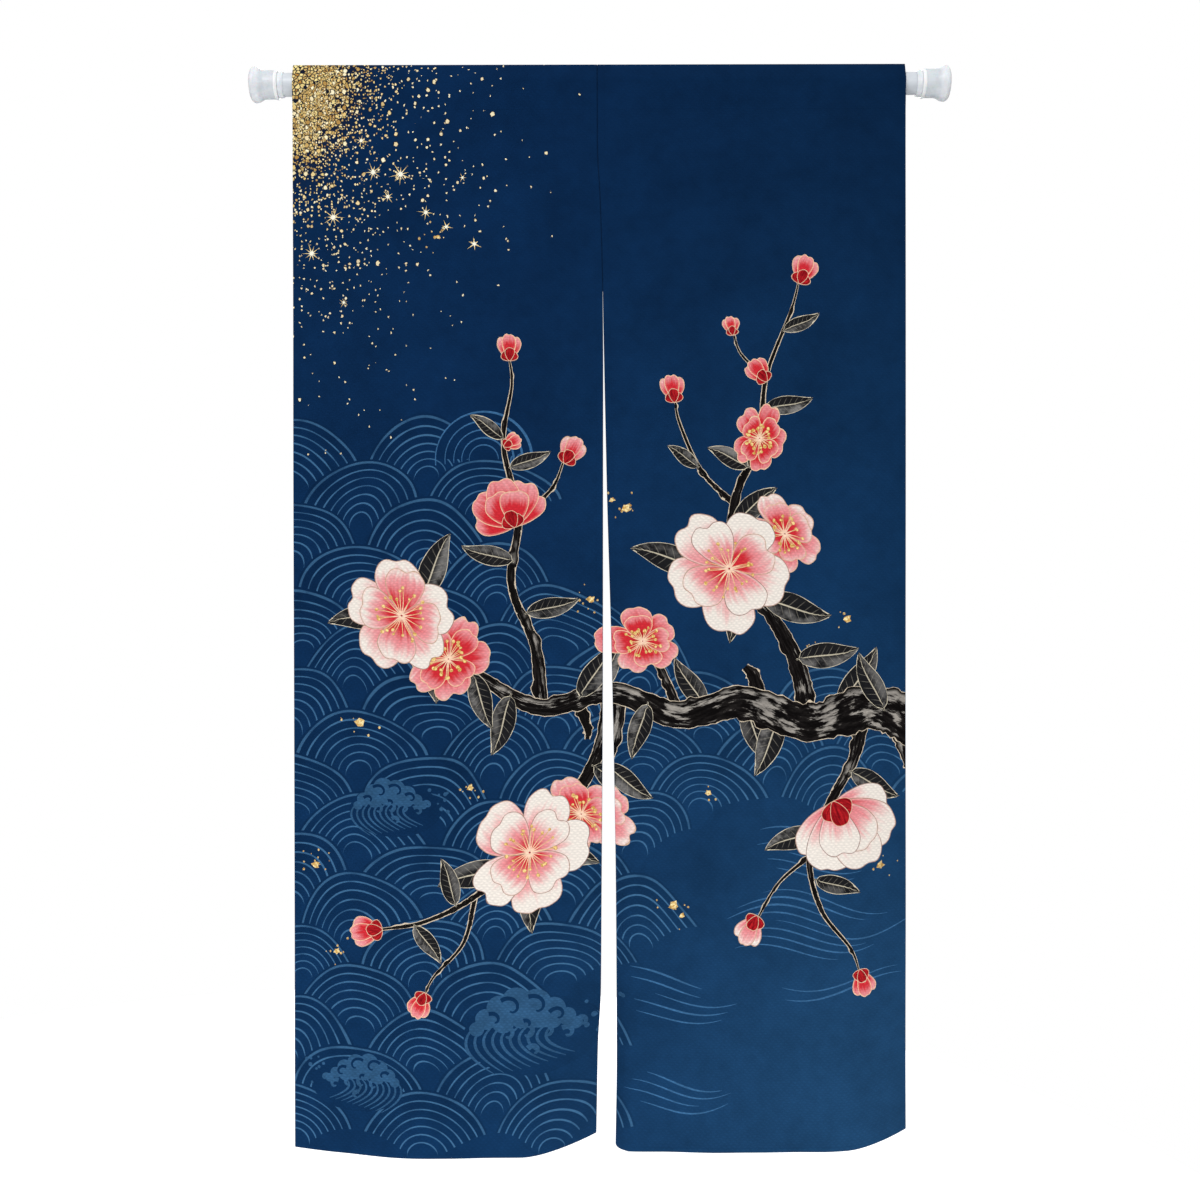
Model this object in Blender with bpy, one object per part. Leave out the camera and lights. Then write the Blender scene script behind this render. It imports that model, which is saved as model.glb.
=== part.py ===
"""A noren: a split door curtain of two cloth panels, hanging by its rod pocket on a tension rod.

Metres, +Z up. +X runs along the rod from the left end foot to the right one, and +Y points away from
whoever faces the curtain. The origin is the middle of the left foot's flat end face, on the rod's axis.
"""

import math
from collections import namedtuple

import bmesh
import bpy
from mathutils import Vector

MM = 0.001
GAP = 0.3 * MM  # between pieces that touch

# The tension rod. Lengths run from the left foot's end face.
ROD_LENGTH = 972.5 * MM
OUTER_TUBE_RADIUS = 15.9 * MM
INNER_TUBE_RADIUS = 15.2 * MM
TUBE_WALL = 0.4 * MM
OUTER_TUBE_END = 560 * MM
INNER_TUBE_START = 330 * MM
SOCKET_FLOOR = 12 * MM  # solid rubber between a foot's end face and the tube's end
TURNED_SIDES = 36

# Outlines of a foot and a bush, in millimetres: distance along the rod, then radius. A foot's starts
# at its end face, and a bush's at the foot's mouth.
FOOT_FACE_RADIUS = 17.5
FOOT_RIM = (6.5, 24.4)
FOOT_FLARE = ((9.0, 23.8), (20.0, 19.4))
FOOT_MOUTH = ((33.3, 19.4), (34.5, 19.9), (36.55, 20.4), (38.6, 19.8))
BUSH_OUTLINE = ((0, 17.9), (4.1, 17.7), (6.7, 17.1), (7.5, 16.6))
DOME_STEPS = 5
FLARE_STEPS = 5

# The cloth. Drops run down the cloth from its top fold.
CLOTH_THICKNESS = 1.5 * MM
LEFT_DROP = 1513 * MM
RIGHT_DROP = 1507 * MM
LIFT_HEIGHT = 330 * MM  # the corners are drawn up over this height above the hem

# The rod pocket's section, seen along the rod: y, then z
POCKET_FOLD = (-9.0 * MM, 23.6 * MM)  # the pressed fold that stands above the rod
POCKET_FOLD_RADIUS = 1.6 * MM
FOLD_STEPS = 5
POCKET_SEAM = (-13.5 * MM, -40.0 * MM)  # where the turned-back cloth is stitched down
POCKET_EASE = 0.45 * MM  # between the tube and the cloth that lies round it
POCKET_RADIUS = OUTER_TUBE_RADIUS + POCKET_EASE + CLOTH_THICKNESS / 2
TURNED_EDGE = 4 * MM  # the turned-back cloth runs on below its stitching by this much
ARC_STEP = math.radians(14)

COLUMNS = 22
HANGING_ROWS = 26
ROW_CROWDING = 1.25  # more than 1 puts the rows closer together near the hem
SHARP_ANGLE = math.radians(35)  # edges bent more than this are shaded sharp

# The line of the centre seam, which leans a little: drop, then distance along the rod, in millimetres.
# Below the stitching it is the line that the slit opens from.
SeamPoint = namedtuple("SeamPoint", "drop along")
SEAM_LINE = (
    SeamPoint(0, 482.4),
    SeamPoint(110, 482.6),
    SeamPoint(190, 486.4),
    SeamPoint(322, 489.6),
    SeamPoint(440, 490.3),
    SeamPoint(1505, 490.3),
)

# One level of a hanging panel, in millimetres. outer is its outer edge, measured along the rod, and
# opening how far its inner edge has drawn away from the seam's line. lean is how far the whole level
# stands back, belly how far its middle comes forward again, and a curl how far that edge turns back
# within its reach.
Level = namedtuple(
    "Level", "drop outer opening lean belly outer_curl outer_reach inner_curl inner_reach"
)
LEFT_PANEL = (
    Level(0, 60.3, 0, 0, 0, 0, 190, 0, 120),
    Level(150, 60.1, 0, 0, 1, 1, 190, 0, 120),
    Level(322, 59.9, 0, 0, 2, 3, 190, 0, 120),
    Level(560, 59.0, 0.7, 0, 3, 6, 190, 1, 120),
    Level(860, 58.5, 1.7, 1, 6, 9, 190, 3, 120),
    Level(1160, 57.8, 4.2, 2, 9, 12, 190, 10, 114),
    Level(1290, 57.2, 5.4, 2.6, 10.2, 14, 190, 21, 110),
    Level(1370, 56.8, 9.6, 3, 11, 15, 190, 30, 108),
    Level(1505, 56.0, 12.2, 4, 12, 18, 190, 52, 104),
)
RIGHT_PANEL = (
    Level(0, 909.8, 0, 0, 0, 0, 120, 0, 60),
    Level(150, 909.8, 0, 0, 1, 1, 120, 0, 60),
    Level(322, 909.8, 0, 0, 2, 2, 120, 0, 60),
    Level(560, 909.9, 3.6, 0, 3, 5, 115, 4, 56),
    Level(860, 910.2, 11.2, 1, 4, 10, 108, 8, 44),
    Level(1160, 911.8, 15.8, 1, 5, 20, 102, 13, 32),
    Level(1370, 914.0, 16.6, 2, 6, 34, 96, 17, 24),
    Level(1505, 916.6, 14.6, 2, 6, 46, 92, 20, 19),
)
CURL_POWER = 1.6

# How far each bottom corner is drawn up, and over what width, in millimetres
Corners = namedtuple("Corners", "outer_lift outer_reach inner_lift inner_reach")
LEFT_CORNERS = Corners(5.8, 190, 12, 104)
RIGHT_CORNERS = Corners(14, 125, 3, 19)


def clear_scene():
    for obj in list(bpy.data.objects):
        bpy.data.objects.remove(obj, do_unlink=True)


def finish_material(name, colour, roughness, metallic=0.0):
    material = bpy.data.materials.new(name)
    material.use_nodes = True
    shader = material.node_tree.nodes["Principled BSDF"]
    shader.inputs["Base Color"].default_value = (*colour, 1.0)
    shader.inputs["Roughness"].default_value = roughness
    shader.inputs["Metallic"].default_value = metallic
    return material


def add_object(name, shape, material):
    """Makes an object of the bmesh and shades it smooth up to its hard edges."""
    mesh = bpy.data.meshes.new(name)
    shape.to_mesh(mesh)
    shape.free()
    mesh.shade_smooth()
    mesh.set_sharp_from_angle(angle=SHARP_ANGLE)
    mesh.materials.append(material)
    obj = bpy.data.objects.new(name, mesh)
    bpy.context.scene.collection.objects.link(obj)
    return obj


# ---------------------------------------------------------------- rod


def turned(outline):
    """Turns a closed outline of (distance along the rod, radius) about the rod's axis."""
    shape = bmesh.new()
    ring = [shape.verts.new((along, 0, radius)) for along, radius in outline]
    edges = [shape.edges.new((ring[i - 1], ring[i])) for i in range(len(ring))]
    bmesh.ops.spin(
        shape,
        geom=ring + edges,
        axis=(1, 0, 0),
        cent=(0, 0, 0),
        angle=math.tau,
        steps=TURNED_SIDES,
        use_merge=True,
    )
    bmesh.ops.remove_doubles(shape, verts=shape.verts[:], dist=1e-6)
    bmesh.ops.dissolve_degenerate(shape, edges=shape.edges[:], dist=1e-6)
    bmesh.ops.recalc_face_normals(shape, faces=shape.faces[:])
    return shape


def eased(start, end, steps):
    """Points of an S-shaped run from one (along, radius) to another, level at both ends."""
    points = []
    for i in range(1, steps):
        t = i / steps
        rise = t * t * (3 - 2 * t)
        points.append((start[0] + (end[0] - start[0]) * t, start[1] + (end[1] - start[1]) * rise))
    return points


def in_metres(outline):
    return [(along * MM, radius * MM) for along, radius in outline]


def foot_outline(socket_radius):
    """A foot from its flat end face inwards: domed edge, widest rim, flare, body, lip and socket."""
    rim_along, rim_radius = FOOT_RIM
    dome = []
    for i in range(DOME_STEPS):
        angle = math.pi / 2 * i / DOME_STEPS
        rise = (rim_radius - FOOT_FACE_RADIUS) * math.sin(angle)
        dome.append((rim_along * (1 - math.cos(angle)), FOOT_FACE_RADIUS + rise))
    start, end = FOOT_FLARE
    outside = [(0, 0), *dome, FOOT_RIM, start, *eased(start, end, FLARE_STEPS), end, *FOOT_MOUTH]
    return [
        *in_metres(outside),
        (foot_length(), socket_radius),
        (SOCKET_FLOOR, socket_radius),
        (SOCKET_FLOOR, 0),
    ]


def foot_length():
    return FOOT_MOUTH[-1][0] * MM


def bush_outline(tube_radius):
    """The tapered bush that sits on the tube against the foot's mouth."""
    start = foot_length() + GAP
    inside = tube_radius + GAP
    outside = [(start + along, radius) for along, radius in in_metres(BUSH_OUTLINE)]
    return [(start, inside), *outside, (outside[-1][0], inside)]


def tube_outline(start, end, radius):
    return [(start, radius - TUBE_WALL), (start, radius), (end, radius), (end, radius - TUBE_WALL)]


def other_end(outline):
    """The same outline as seen from the rod's right end."""
    return [(ROD_LENGTH - along, radius) for along, radius in reversed(outline)]


def build_rod(plastic, steel):
    tube_start = SOCKET_FLOOR + GAP
    outer = tube_outline(tube_start, OUTER_TUBE_END, OUTER_TUBE_RADIUS)
    inner = tube_outline(INNER_TUBE_START, ROD_LENGTH - tube_start, INNER_TUBE_RADIUS)
    add_object("tube_outer", turned(outer), steel)
    add_object("tube_inner", turned(inner), steel)
    for side, tube_radius in (("left", OUTER_TUBE_RADIUS), ("right", INNER_TUBE_RADIUS)):
        foot = foot_outline(tube_radius + GAP)
        bush = bush_outline(tube_radius)
        if side == "right":
            foot, bush = other_end(foot), other_end(bush)
        add_object("foot_" + side, turned(foot), plastic)
        add_object("bush_" + side, turned(bush), plastic)


# ---------------------------------------------------------------- cloth


def tangent_angle(point, radius, side):
    """Where a straight run of cloth from the point meets the rod's round, as an angle about the rod."""
    distance = math.hypot(*point)
    return math.atan2(point[1], point[0]) + side * math.acos(radius / distance)


def round_run(radius, start, end):
    """Points around the rod between two angles."""
    steps = max(1, round(abs(end - start) / ARC_STEP))
    angles = [start + (end - start) * i / steps for i in range(steps + 1)]
    return [(radius * math.cos(a), radius * math.sin(a)) for a in angles]


def folded_edge(before, fold, after):
    """The pressed fold, rounded off between the runs of cloth that come up to it and leave it."""
    corner = Vector(fold)
    arrive = (corner - Vector(before)).normalized()
    leave = (Vector(after) - corner).normalized()
    half = arrive.angle(leave) / 2
    inward = (leave - arrive).normalized()
    centre = corner + inward * POCKET_FOLD_RADIUS / math.cos(half)
    points = []
    for i in range(FOLD_STEPS + 1):
        turn = half * (2 * i / FOLD_STEPS - 1)
        spoke = -inward * math.cos(turn) + (leave + arrive).normalized() * math.sin(turn)
        points.append(tuple(centre + spoke * POCKET_FOLD_RADIUS))
    return points


def pocket_section():
    """(y, z) of the cloth's middle from the pocket seam up the front, over the fold and down the back."""
    back_seam = (POCKET_SEAM[0] + CLOTH_THICKNESS + GAP, POCKET_SEAM[1])
    up_from_seam = tangent_angle(POCKET_SEAM, POCKET_RADIUS, -1)
    up_to_fold = tangent_angle(POCKET_FOLD, POCKET_RADIUS, 1)
    down_from_fold = tangent_angle(POCKET_FOLD, POCKET_RADIUS, -1)
    down_to_seam = tangent_angle(back_seam, POCKET_RADIUS, 1) - math.tau
    front = round_run(POCKET_RADIUS, up_from_seam % math.tau, up_to_fold % math.tau)
    back = round_run(POCKET_RADIUS, down_from_fold, down_to_seam % -math.tau)
    end = (back_seam[0], back_seam[1] - TURNED_EDGE)
    return [*front, *folded_edge(front[-1], POCKET_FOLD, back[0]), *back, back_seam, end]


def pocket_drop():
    """How far down the cloth its pocket seam lies."""
    return POCKET_FOLD[1] - POCKET_SEAM[1]


def meeting_slope(before, after):
    """A slope where two runs of a table meet that lets a smooth curve pass neither run's ends."""
    return 0.0 if before * after <= 0 else 2 * before * after / (before + after)


def at_drop(table, drop):
    """The table's row at any drop, in millimetres, on smooth curves through its own rows."""
    last = len(table) - 2
    i = max(k for k in range(last + 1) if table[k].drop <= drop or k == 0)
    span = table[i + 1].drop - table[i].drop
    t = (drop - table[i].drop) / span
    values = []
    for column in range(len(table[0])):
        slopes = [
            (table[k + 1][column] - table[k][column]) / (table[k + 1].drop - table[k].drop)
            for k in (max(i - 1, 0), i, min(i + 1, last))
        ]
        start_slope = meeting_slope(slopes[0], slopes[1]) * span
        end_slope = meeting_slope(slopes[1], slopes[2]) * span
        values.append(
            table[i][column] * (1 + 2 * t) * (1 - t) ** 2
            + table[i + 1][column] * t * t * (3 - 2 * t)
            + start_slope * t * (1 - t) ** 2
            - end_slope * t * t * (1 - t)
        )
    return type(table[0])(*values)


def curl(distance, reach):
    """0 where a curl begins, and 1 at the edge that turns back."""
    return max(0.0, 1 - distance / reach) ** CURL_POWER


def at_edges(level_width, from_outer, outer, outer_reach, inner, inner_reach):
    """What the two edges' own amounts come to at a distance from the outer edge."""
    from_inner = level_width - from_outer
    return outer * curl(from_outer, outer_reach) + inner * curl(from_inner, inner_reach)


def columns():
    """Shares of the width, from the outer edge inwards, closer together towards both edges."""
    return [(1 - math.cos(math.pi * i / COLUMNS)) / 2 for i in range(COLUMNS + 1)]


def level_line(levels, corners, side, drop):
    """(x, depth, lift) across the panel at one drop. side is -1 left of the seam and 1 right of it."""
    level = at_drop(levels, drop / MM)
    inner = at_drop(SEAM_LINE, drop / MM).along + side * (level.opening + GAP / MM / 2)
    width = abs(inner - level.outer)
    line = []
    for share in columns():
        turned_back = at_edges(
            width,
            share * width,
            level.outer_curl,
            level.outer_reach,
            level.inner_curl,
            level.inner_reach,
        )
        back = level.lean - level.belly * math.sin(math.pi * share) + turned_back
        lift = at_edges(width, share * width, *corners)
        line.append(((level.outer + (inner - level.outer) * share) * MM, back * MM, lift * MM))
    return line


def hanging_drops(hem_drop):
    """Drops of the rows from the hem up to the pocket seam, closer together near the hem."""
    climb = hem_drop - pocket_drop()
    return [hem_drop - climb * (i / HANGING_ROWS) ** ROW_CROWDING for i in range(HANGING_ROWS)]


def panel_rows(levels, corners, side, hem_drop):
    """Rows of points, from the bottom hem up the front, over the rod and down to the pocket's edge."""
    rows = []
    for drop in hanging_drops(hem_drop):
        near_hem = max(0.0, 1 - (hem_drop - drop) / LIFT_HEIGHT)
        height = POCKET_FOLD[1] - drop
        line = level_line(levels, corners, side, drop)
        rows.append([(x, POCKET_SEAM[0] + back, height + lift * near_hem**2) for x, back, lift in line])
    top = level_line(levels, corners, side, pocket_drop())
    rows.extend([(x, y, z) for x, _, _ in top] for y, z in (POCKET_SEAM, *pocket_section()))
    return rows


def build_panel(name, levels, corners, side, hem_drop, cloth):
    shape = bmesh.new()
    rows = panel_rows(levels, corners, side, hem_drop)
    grid = [[shape.verts.new(point) for point in row] for row in rows]
    for low, high in zip(grid, grid[1:]):
        for i in range(COLUMNS):
            shape.faces.new((low[i], low[i + 1], high[i + 1], high[i]))
    panel = add_object(name, shape, cloth)
    thickness = panel.modifiers.new("Thickness", "SOLIDIFY")
    thickness.thickness = CLOTH_THICKNESS
    thickness.offset = 0
    thickness.use_even_offset = True
    return panel


def main():
    clear_scene()
    plastic = finish_material("white_plastic", (0.86, 0.88, 0.90), 0.28)
    steel = finish_material("white_coated_steel", (0.82, 0.84, 0.86), 0.35)
    cloth = finish_material("indigo_cloth", (0.010, 0.045, 0.120), 0.85)
    build_rod(plastic, steel)
    build_panel("panel_left", LEFT_PANEL, LEFT_CORNERS, -1, LEFT_DROP, cloth)
    build_panel("panel_right", RIGHT_PANEL, RIGHT_CORNERS, 1, RIGHT_DROP, cloth)


main()
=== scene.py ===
"""Looks of the noren: two printed cloth panels in their hung shape, on a white tension rod."""

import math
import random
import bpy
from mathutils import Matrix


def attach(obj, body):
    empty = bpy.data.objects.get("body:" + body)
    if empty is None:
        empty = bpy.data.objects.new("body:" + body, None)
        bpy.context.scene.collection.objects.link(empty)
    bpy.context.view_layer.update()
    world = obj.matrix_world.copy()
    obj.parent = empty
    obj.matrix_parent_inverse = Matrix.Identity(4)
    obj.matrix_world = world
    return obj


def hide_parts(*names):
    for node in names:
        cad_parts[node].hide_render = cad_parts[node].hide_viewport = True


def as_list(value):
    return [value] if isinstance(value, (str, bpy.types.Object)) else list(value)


bl_info = {
    "name": "Noren on a tension rod",
    "version": (1, 0, 0),
    "blender": (4, 5, 0),
    "location": "3D View > Sidebar > Noren",
    "description": "Prints, hems and hangs the two panels, finishes the rod and sets the studio",
    "category": "Object",
}

from collections import namedtuple

import bpy
import numpy as np
from mathutils import Vector
from mathutils.geometry import delaunay_2d_cdt

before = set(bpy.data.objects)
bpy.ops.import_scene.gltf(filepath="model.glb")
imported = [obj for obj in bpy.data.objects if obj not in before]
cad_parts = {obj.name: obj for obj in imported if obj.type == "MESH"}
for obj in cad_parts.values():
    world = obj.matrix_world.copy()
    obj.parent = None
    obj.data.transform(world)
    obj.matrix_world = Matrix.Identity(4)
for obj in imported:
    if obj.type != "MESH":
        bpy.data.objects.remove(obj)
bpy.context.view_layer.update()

# ---------------------------------------------------------------- the hung shape, in millimetres

GAP = 0.3  # between the two panels along the centre seam
PANEL_WIDTH = 425.0  # hemmed width of one panel, laid flat
DROPS = {"left": 1513.0, "right": 1507.0}
LIFT_HEIGHT = 330.0  # the corners are drawn up over this height above the hem
CURL_POWER = 1.6

CLOTH_TOP = 23.6  # height of the cloth's top edge over the rod's axis
POCKET_FOLD = (-9.0, 24.3)  # the outer corner of the pressed fold above the rod: y, then z
POCKET_FOLD_RADIUS = 1.6
FOLD_STEPS = 6
POCKET_SEAM = (-13.5, -40.0)  # the stitching below the rod
POCKET_BACK_SEAM = (-11.7, -40.0)  # the turned-back layer at the same stitching
POCKET_RADIUS = 16.85  # the printed layer lies 0.5 outside this, round the rod
POCKET_DROP = CLOTH_TOP - POCKET_SEAM[1]
TURNED_EDGE = 4.0
ARC_STEP = math.radians(7)

# The line of the centre seam: drop, then distance along the rod
SEAM_LINE = ((0, 482.4), (110, 482.6), (190, 486.4), (322, 489.6), (440, 490.3), (1505, 490.3))
SEAM_END = 322.0  # the panels are sewn together down to here
SEAM_VALLEY = (0.45, 3.2)  # how deep the cloth dips along the seam, and from how far
VALLEY_ENDS = (SEAM_END + 25, SEAM_END - 5)  # the drops between which that dip fades out
SETTLING = 45  # the cloth takes up its hung shape over this height below the pocket

# drop, outer, opening, lean, belly, outer_curl, outer_reach, inner_curl, inner_reach
LEVELS = {
    "left": (
        (0, 60.3, 0, 0, 0, 0, 190, 0, 120),
        (150, 60.1, 0, 0, 1, 1, 190, 0, 120),
        (322, 59.9, 0, 0, 2, 3, 190, 0, 120),
        (560, 59.0, 0.7, 0, 3, 6, 190, 1, 120),
        (860, 58.5, 1.7, 1, 6, 9, 190, 3, 120),
        (1160, 57.8, 4.2, 2, 9, 12, 190, 10, 114),
        (1290, 57.2, 5.4, 2.6, 10.2, 14, 190, 21, 110),
        (1370, 56.8, 9.6, 3, 11, 15, 190, 30, 108),
        (1505, 56.0, 12.2, 4, 12, 18, 190, 52, 104),
    ),
    "right": (
        (0, 909.8, 0, 0, 0, 0, 120, 0, 60),
        (150, 909.8, 0, 0, 1, 1, 120, 0, 60),
        (322, 909.8, 0, 0, 2, 2, 120, 0, 60),
        (560, 909.9, 3.6, 0, 3, 5, 115, 4, 56),
        (860, 910.2, 11.2, 1, 4, 10, 108, 8, 44),
        (1160, 911.8, 15.8, 1, 5, 20, 102, 13, 32),
        (1370, 914.0, 16.6, 2, 6, 34, 96, 17, 24),
        (1505, 916.6, 14.6, 2, 6, 46, 92, 20, 19),
    ),
}
# outer_lift, outer_reach, inner_lift, inner_reach
CORNERS = {"left": (5.8, 190, 12, 104), "right": (14, 125, 0, 19)}
ROUNDED = {"left": (0.0, 1.0), "right": (4.5, 5.5)}  # the inner corner's own rounding: high, wide
ROUNDED_HEIGHT = 30.0
SIDES = {"left": -1, "right": 1}
PANEL_START = {"left": 0.0, "right": PANEL_WIDTH}  # each panel's left edge on the flat cloth

# Soft troughs and ridges: where across the flat cloth, how wide, how deep, the drops where each
# begins and is deepest, and how far it wanders sideways. A ridge has a negative depth.
Crease = namedtuple("Crease", "across width depth begins deepest drift")
CREASES = {
    "left": (
        Crease(70, 26, 1.3, 90, 700, 12),
        Crease(168, 34, -1.5, 240, 1150, -16),
        Crease(262, 30, 1.6, 160, 900, 10),
        Crease(346, 22, -1.1, 420, 1350, -6),
    ),
    "right": (
        Crease(492, 24, 1.2, 330, 1000, 6),
        Crease(575, 32, -1.6, 140, 820, -10),
        Crease(668, 30, 1.4, 300, 1280, 14),
        Crease(776, 26, -1.3, 100, 640, -8),
    ),
}

COLUMN_STEP = 8.5
ROW_STEP = 9.0
EDGE_STEPS = (0.9, 2.1, 3.7, 5.8)  # finer columns and rows this far inside the edges
AXIS_STEP = 0.4  # the cloth's directions are measured between points this far to each side


def unit_vectors(vectors):
    """The same directions, each one long."""
    return vectors / np.linalg.norm(vectors, axis=1)[:, None]


def smooth_table(table, drops):
    """Every column of a table at many drops, on smooth curves through its rows."""
    rows = np.array(table, float)
    known = rows[:, 0]
    rises = np.diff(rows, axis=0) / np.diff(known)[:, None]
    total = rises[:-1] + rises[1:]
    product = rises[:-1] * rises[1:]
    level = product <= 0
    inner = np.where(level, 0.0, 2 * product / np.where(level, 1.0, total))
    slopes = np.vstack([rises[:1], inner, rises[-1:]])
    at = np.clip(np.searchsorted(known, drops, "right") - 1, 0, len(known) - 2)
    span = (known[at + 1] - known[at])[:, None]
    t = (np.asarray(drops, float)[:, None] - known[at][:, None]) / span
    values = (
        rows[at] * (1 + 2 * t) * (1 - t) ** 2
        + rows[at + 1] * t * t * (3 - 2 * t)
        + slopes[at] * span * t * (1 - t) ** 2
        - slopes[at + 1] * span * t * t * (1 - t)
    )
    return values.T


def eased(value, low, high):
    """0 at low, 1 at high, and smooth between."""
    t = np.clip((value - low) / (high - low), 0.0, 1.0)
    return t * t * (3 - 2 * t)


def curl(distance, reach):
    """1 at an edge, easing to 0 at its reach from it."""
    return np.maximum(0.0, 1 - distance / reach) ** CURL_POWER


def tangent_angle(point, side):
    """Where round the rod the cloth leaves it towards a point, on one side or the other."""
    distance = math.hypot(*point)
    return math.atan2(point[1], point[0]) + side * math.acos(POCKET_RADIUS / distance)


def round_run(start, end):
    """Points of the cloth round the rod from one angle to another."""
    steps = max(1, round(abs(end - start) / ARC_STEP))
    angles = [start + (end - start) * i / steps for i in range(steps + 1)]
    return [(POCKET_RADIUS * math.cos(a), POCKET_RADIUS * math.sin(a)) for a in angles]


def pressed_fold(before, after):
    """Points of the rounded fold above the rod, from the front run to the back run."""
    corner = Vector(POCKET_FOLD)
    arrive = (corner - Vector(before)).normalized()
    leave = (Vector(after) - corner).normalized()
    half = arrive.angle(leave) / 2
    inward = (leave - arrive).normalized()
    middle = corner + inward * POCKET_FOLD_RADIUS / math.cos(half)
    points = []
    for i in range(FOLD_STEPS + 1):
        turn = half * (2 * i / FOLD_STEPS - 1)
        spoke = -inward * math.cos(turn) + (leave + arrive).normalized() * math.sin(turn)
        points.append(tuple(middle + spoke * POCKET_FOLD_RADIUS))
    return points


def pocket_path():
    """The cloth through the rod pocket as rows of (down the cloth, y, z), its back edge first."""
    front = round_run(
        tangent_angle(POCKET_SEAM, -1) % math.tau, tangent_angle(POCKET_FOLD, 1) % math.tau
    )
    back = round_run(
        tangent_angle(POCKET_FOLD, -1), (tangent_angle(POCKET_BACK_SEAM, 1) - math.tau) % -math.tau
    )
    fold = pressed_fold(front[-1], back[0])
    half = FOLD_STEPS // 2
    turned_edge = (POCKET_BACK_SEAM[0], POCKET_BACK_SEAM[1] - TURNED_EDGE)
    up_front = np.array([POCKET_SEAM, *front, *fold[: half + 1]])
    down_back = np.array([*fold[half:], *back, POCKET_BACK_SEAM, turned_edge])
    rise, fall = run_lengths(up_front), run_lengths(down_back)
    down = np.concatenate([-fall[::-1], (rise[-1] - rise[::-1][1:]) * POCKET_DROP / rise[-1]])
    places = np.vstack([down_back[::-1], up_front[::-1][1:]])
    return np.column_stack([down, places])


def run_lengths(points):
    """How far along a run of points each of them lies."""
    return np.concatenate([[0], np.cumsum(np.linalg.norm(np.diff(points, axis=0), axis=1))])


PATH = pocket_path()
PATH_START = float(PATH[0, 0])


def hung_place(side, across, down):
    """(x, y, z) of the cloth for points given by millimetres across and down it when laid flat."""
    drop = np.maximum(down, POCKET_DROP)
    _, outer, opening, lean, belly, outer_curl, outer_reach, inner_curl, inner_reach = (
        smooth_table(LEVELS[side], drop)
    )
    sign = SIDES[side]
    inner = smooth_table(SEAM_LINE, drop)[1] + sign * (opening + GAP / 2)
    share = across / PANEL_WIDTH if sign < 0 else (2 * PANEL_WIDTH - across) / PANEL_WIDTH
    width = np.abs(inner - outer)
    from_outer, from_inner = share * width, (1 - share) * width
    back = lean - belly * np.sin(math.pi * share)
    back += outer_curl * curl(from_outer, outer_reach) + inner_curl * curl(from_inner, inner_reach)
    for crease in CREASES[side]:
        middle = crease.across + crease.drift * (down / DROPS[side])
        bell = np.exp(-(((across - middle) / crease.width) ** 2))
        back += crease.depth * bell * eased(down, crease.begins, crease.deepest)
    valley, valley_reach = SEAM_VALLEY
    dip = valley * curl(from_inner, valley_reach) * eased(down, *VALLEY_ENDS)
    outer_lift, outer_lift_reach, inner_lift, inner_lift_reach = CORNERS[side]
    lift = outer_lift * curl(from_outer, outer_lift_reach)
    lift += inner_lift * curl(from_inner, inner_lift_reach)
    above_hem = DROPS[side] - down
    lift *= np.maximum(0.0, 1 - above_hem / LIFT_HEIGHT) ** 2
    high, wide = ROUNDED[side]
    near = np.clip(1 - from_inner / wide, 0, 1)
    lift += high * (1 - np.sqrt(1 - near**2)) * np.clip(1 - above_hem / ROUNDED_HEIGHT, 0, 1) ** 2
    hanging = down > POCKET_DROP
    pocket_y = np.interp(down, PATH[:, 0], PATH[:, 1])
    pocket_z = np.interp(down, PATH[:, 0], PATH[:, 2])
    settled = eased(down, POCKET_DROP, POCKET_DROP + SETTLING)
    y = np.where(hanging, POCKET_SEAM[0] + back * settled, pocket_y)
    y += dip * (down > 0)
    z = np.where(hanging, CLOTH_TOP - down + lift, pocket_z)
    return np.column_stack([outer + (inner - outer) * share, y, z])


def hung_axes(side, across, down):
    """Directions of the cloth at each point: along the rod, into its wrong side, and down it."""
    before, after = across - AXIS_STEP, across + AXIS_STEP
    along = unit_vectors(hung_place(side, after, down) - hung_place(side, before, down))
    above, below = down - AXIS_STEP, down + AXIS_STEP
    falling = unit_vectors(hung_place(side, across, below) - hung_place(side, across, above))
    return along, unit_vectors(np.cross(along, falling)), falling


# ---------------------------------------------------------------- the printed design, laid flat

# A printed shape: the dye that it is printed with, its outline, a function that gives (along,
# across) inside it, its tone and a seed of its own.
Motif = namedtuple("Motif", "dye outline place tone seed")
# Where a bloom lies: its middle, how it is turned, and how far it leans away to one side
Bloom = namedtuple("Bloom", "x y turn squash lean")


def turned(points, angle):
    """The points, turned about the origin."""
    x, y = points.T
    c, s = math.cos(angle), math.sin(angle)
    return np.column_stack([x * c - y * s, x * s + y * c])


def arc(x, y, radius, angles, squash=1.0):
    """Points round a middle, at one radius or at one for each angle."""
    return np.column_stack([x + radius * np.cos(angles), y + radius * np.sin(angles) * squash])


def onto_cloth(bloom, points):
    """Points of a bloom as drawn from its middle, laid where it is on the cloth."""
    leaned = turned(turned(points, bloom.turn), -bloom.lean) * (1, bloom.squash)
    return turned(leaned, bloom.lean) + (bloom.x, bloom.y)


def off_cloth(bloom, points):
    """The other way round."""
    leaned = turned(points - (bloom.x, bloom.y), -bloom.lean) / (1, bloom.squash)
    return turned(turned(leaned, bloom.lean), -bloom.turn)


PETAL_POINTS = 60
PETAL_WAVES = ((3, 0.012, 0.022), (7, 0.006, 0.012))  # how many round the rim, lowest, highest


def petal_width(share, half_width):
    """Half the width of a petal at a share of its length: an oval, drawn out towards the rim."""
    oval = half_width * 2 * np.sqrt(np.maximum(share * (1 - share), 0))
    return oval * (0.5 + 0.72 * share)


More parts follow.
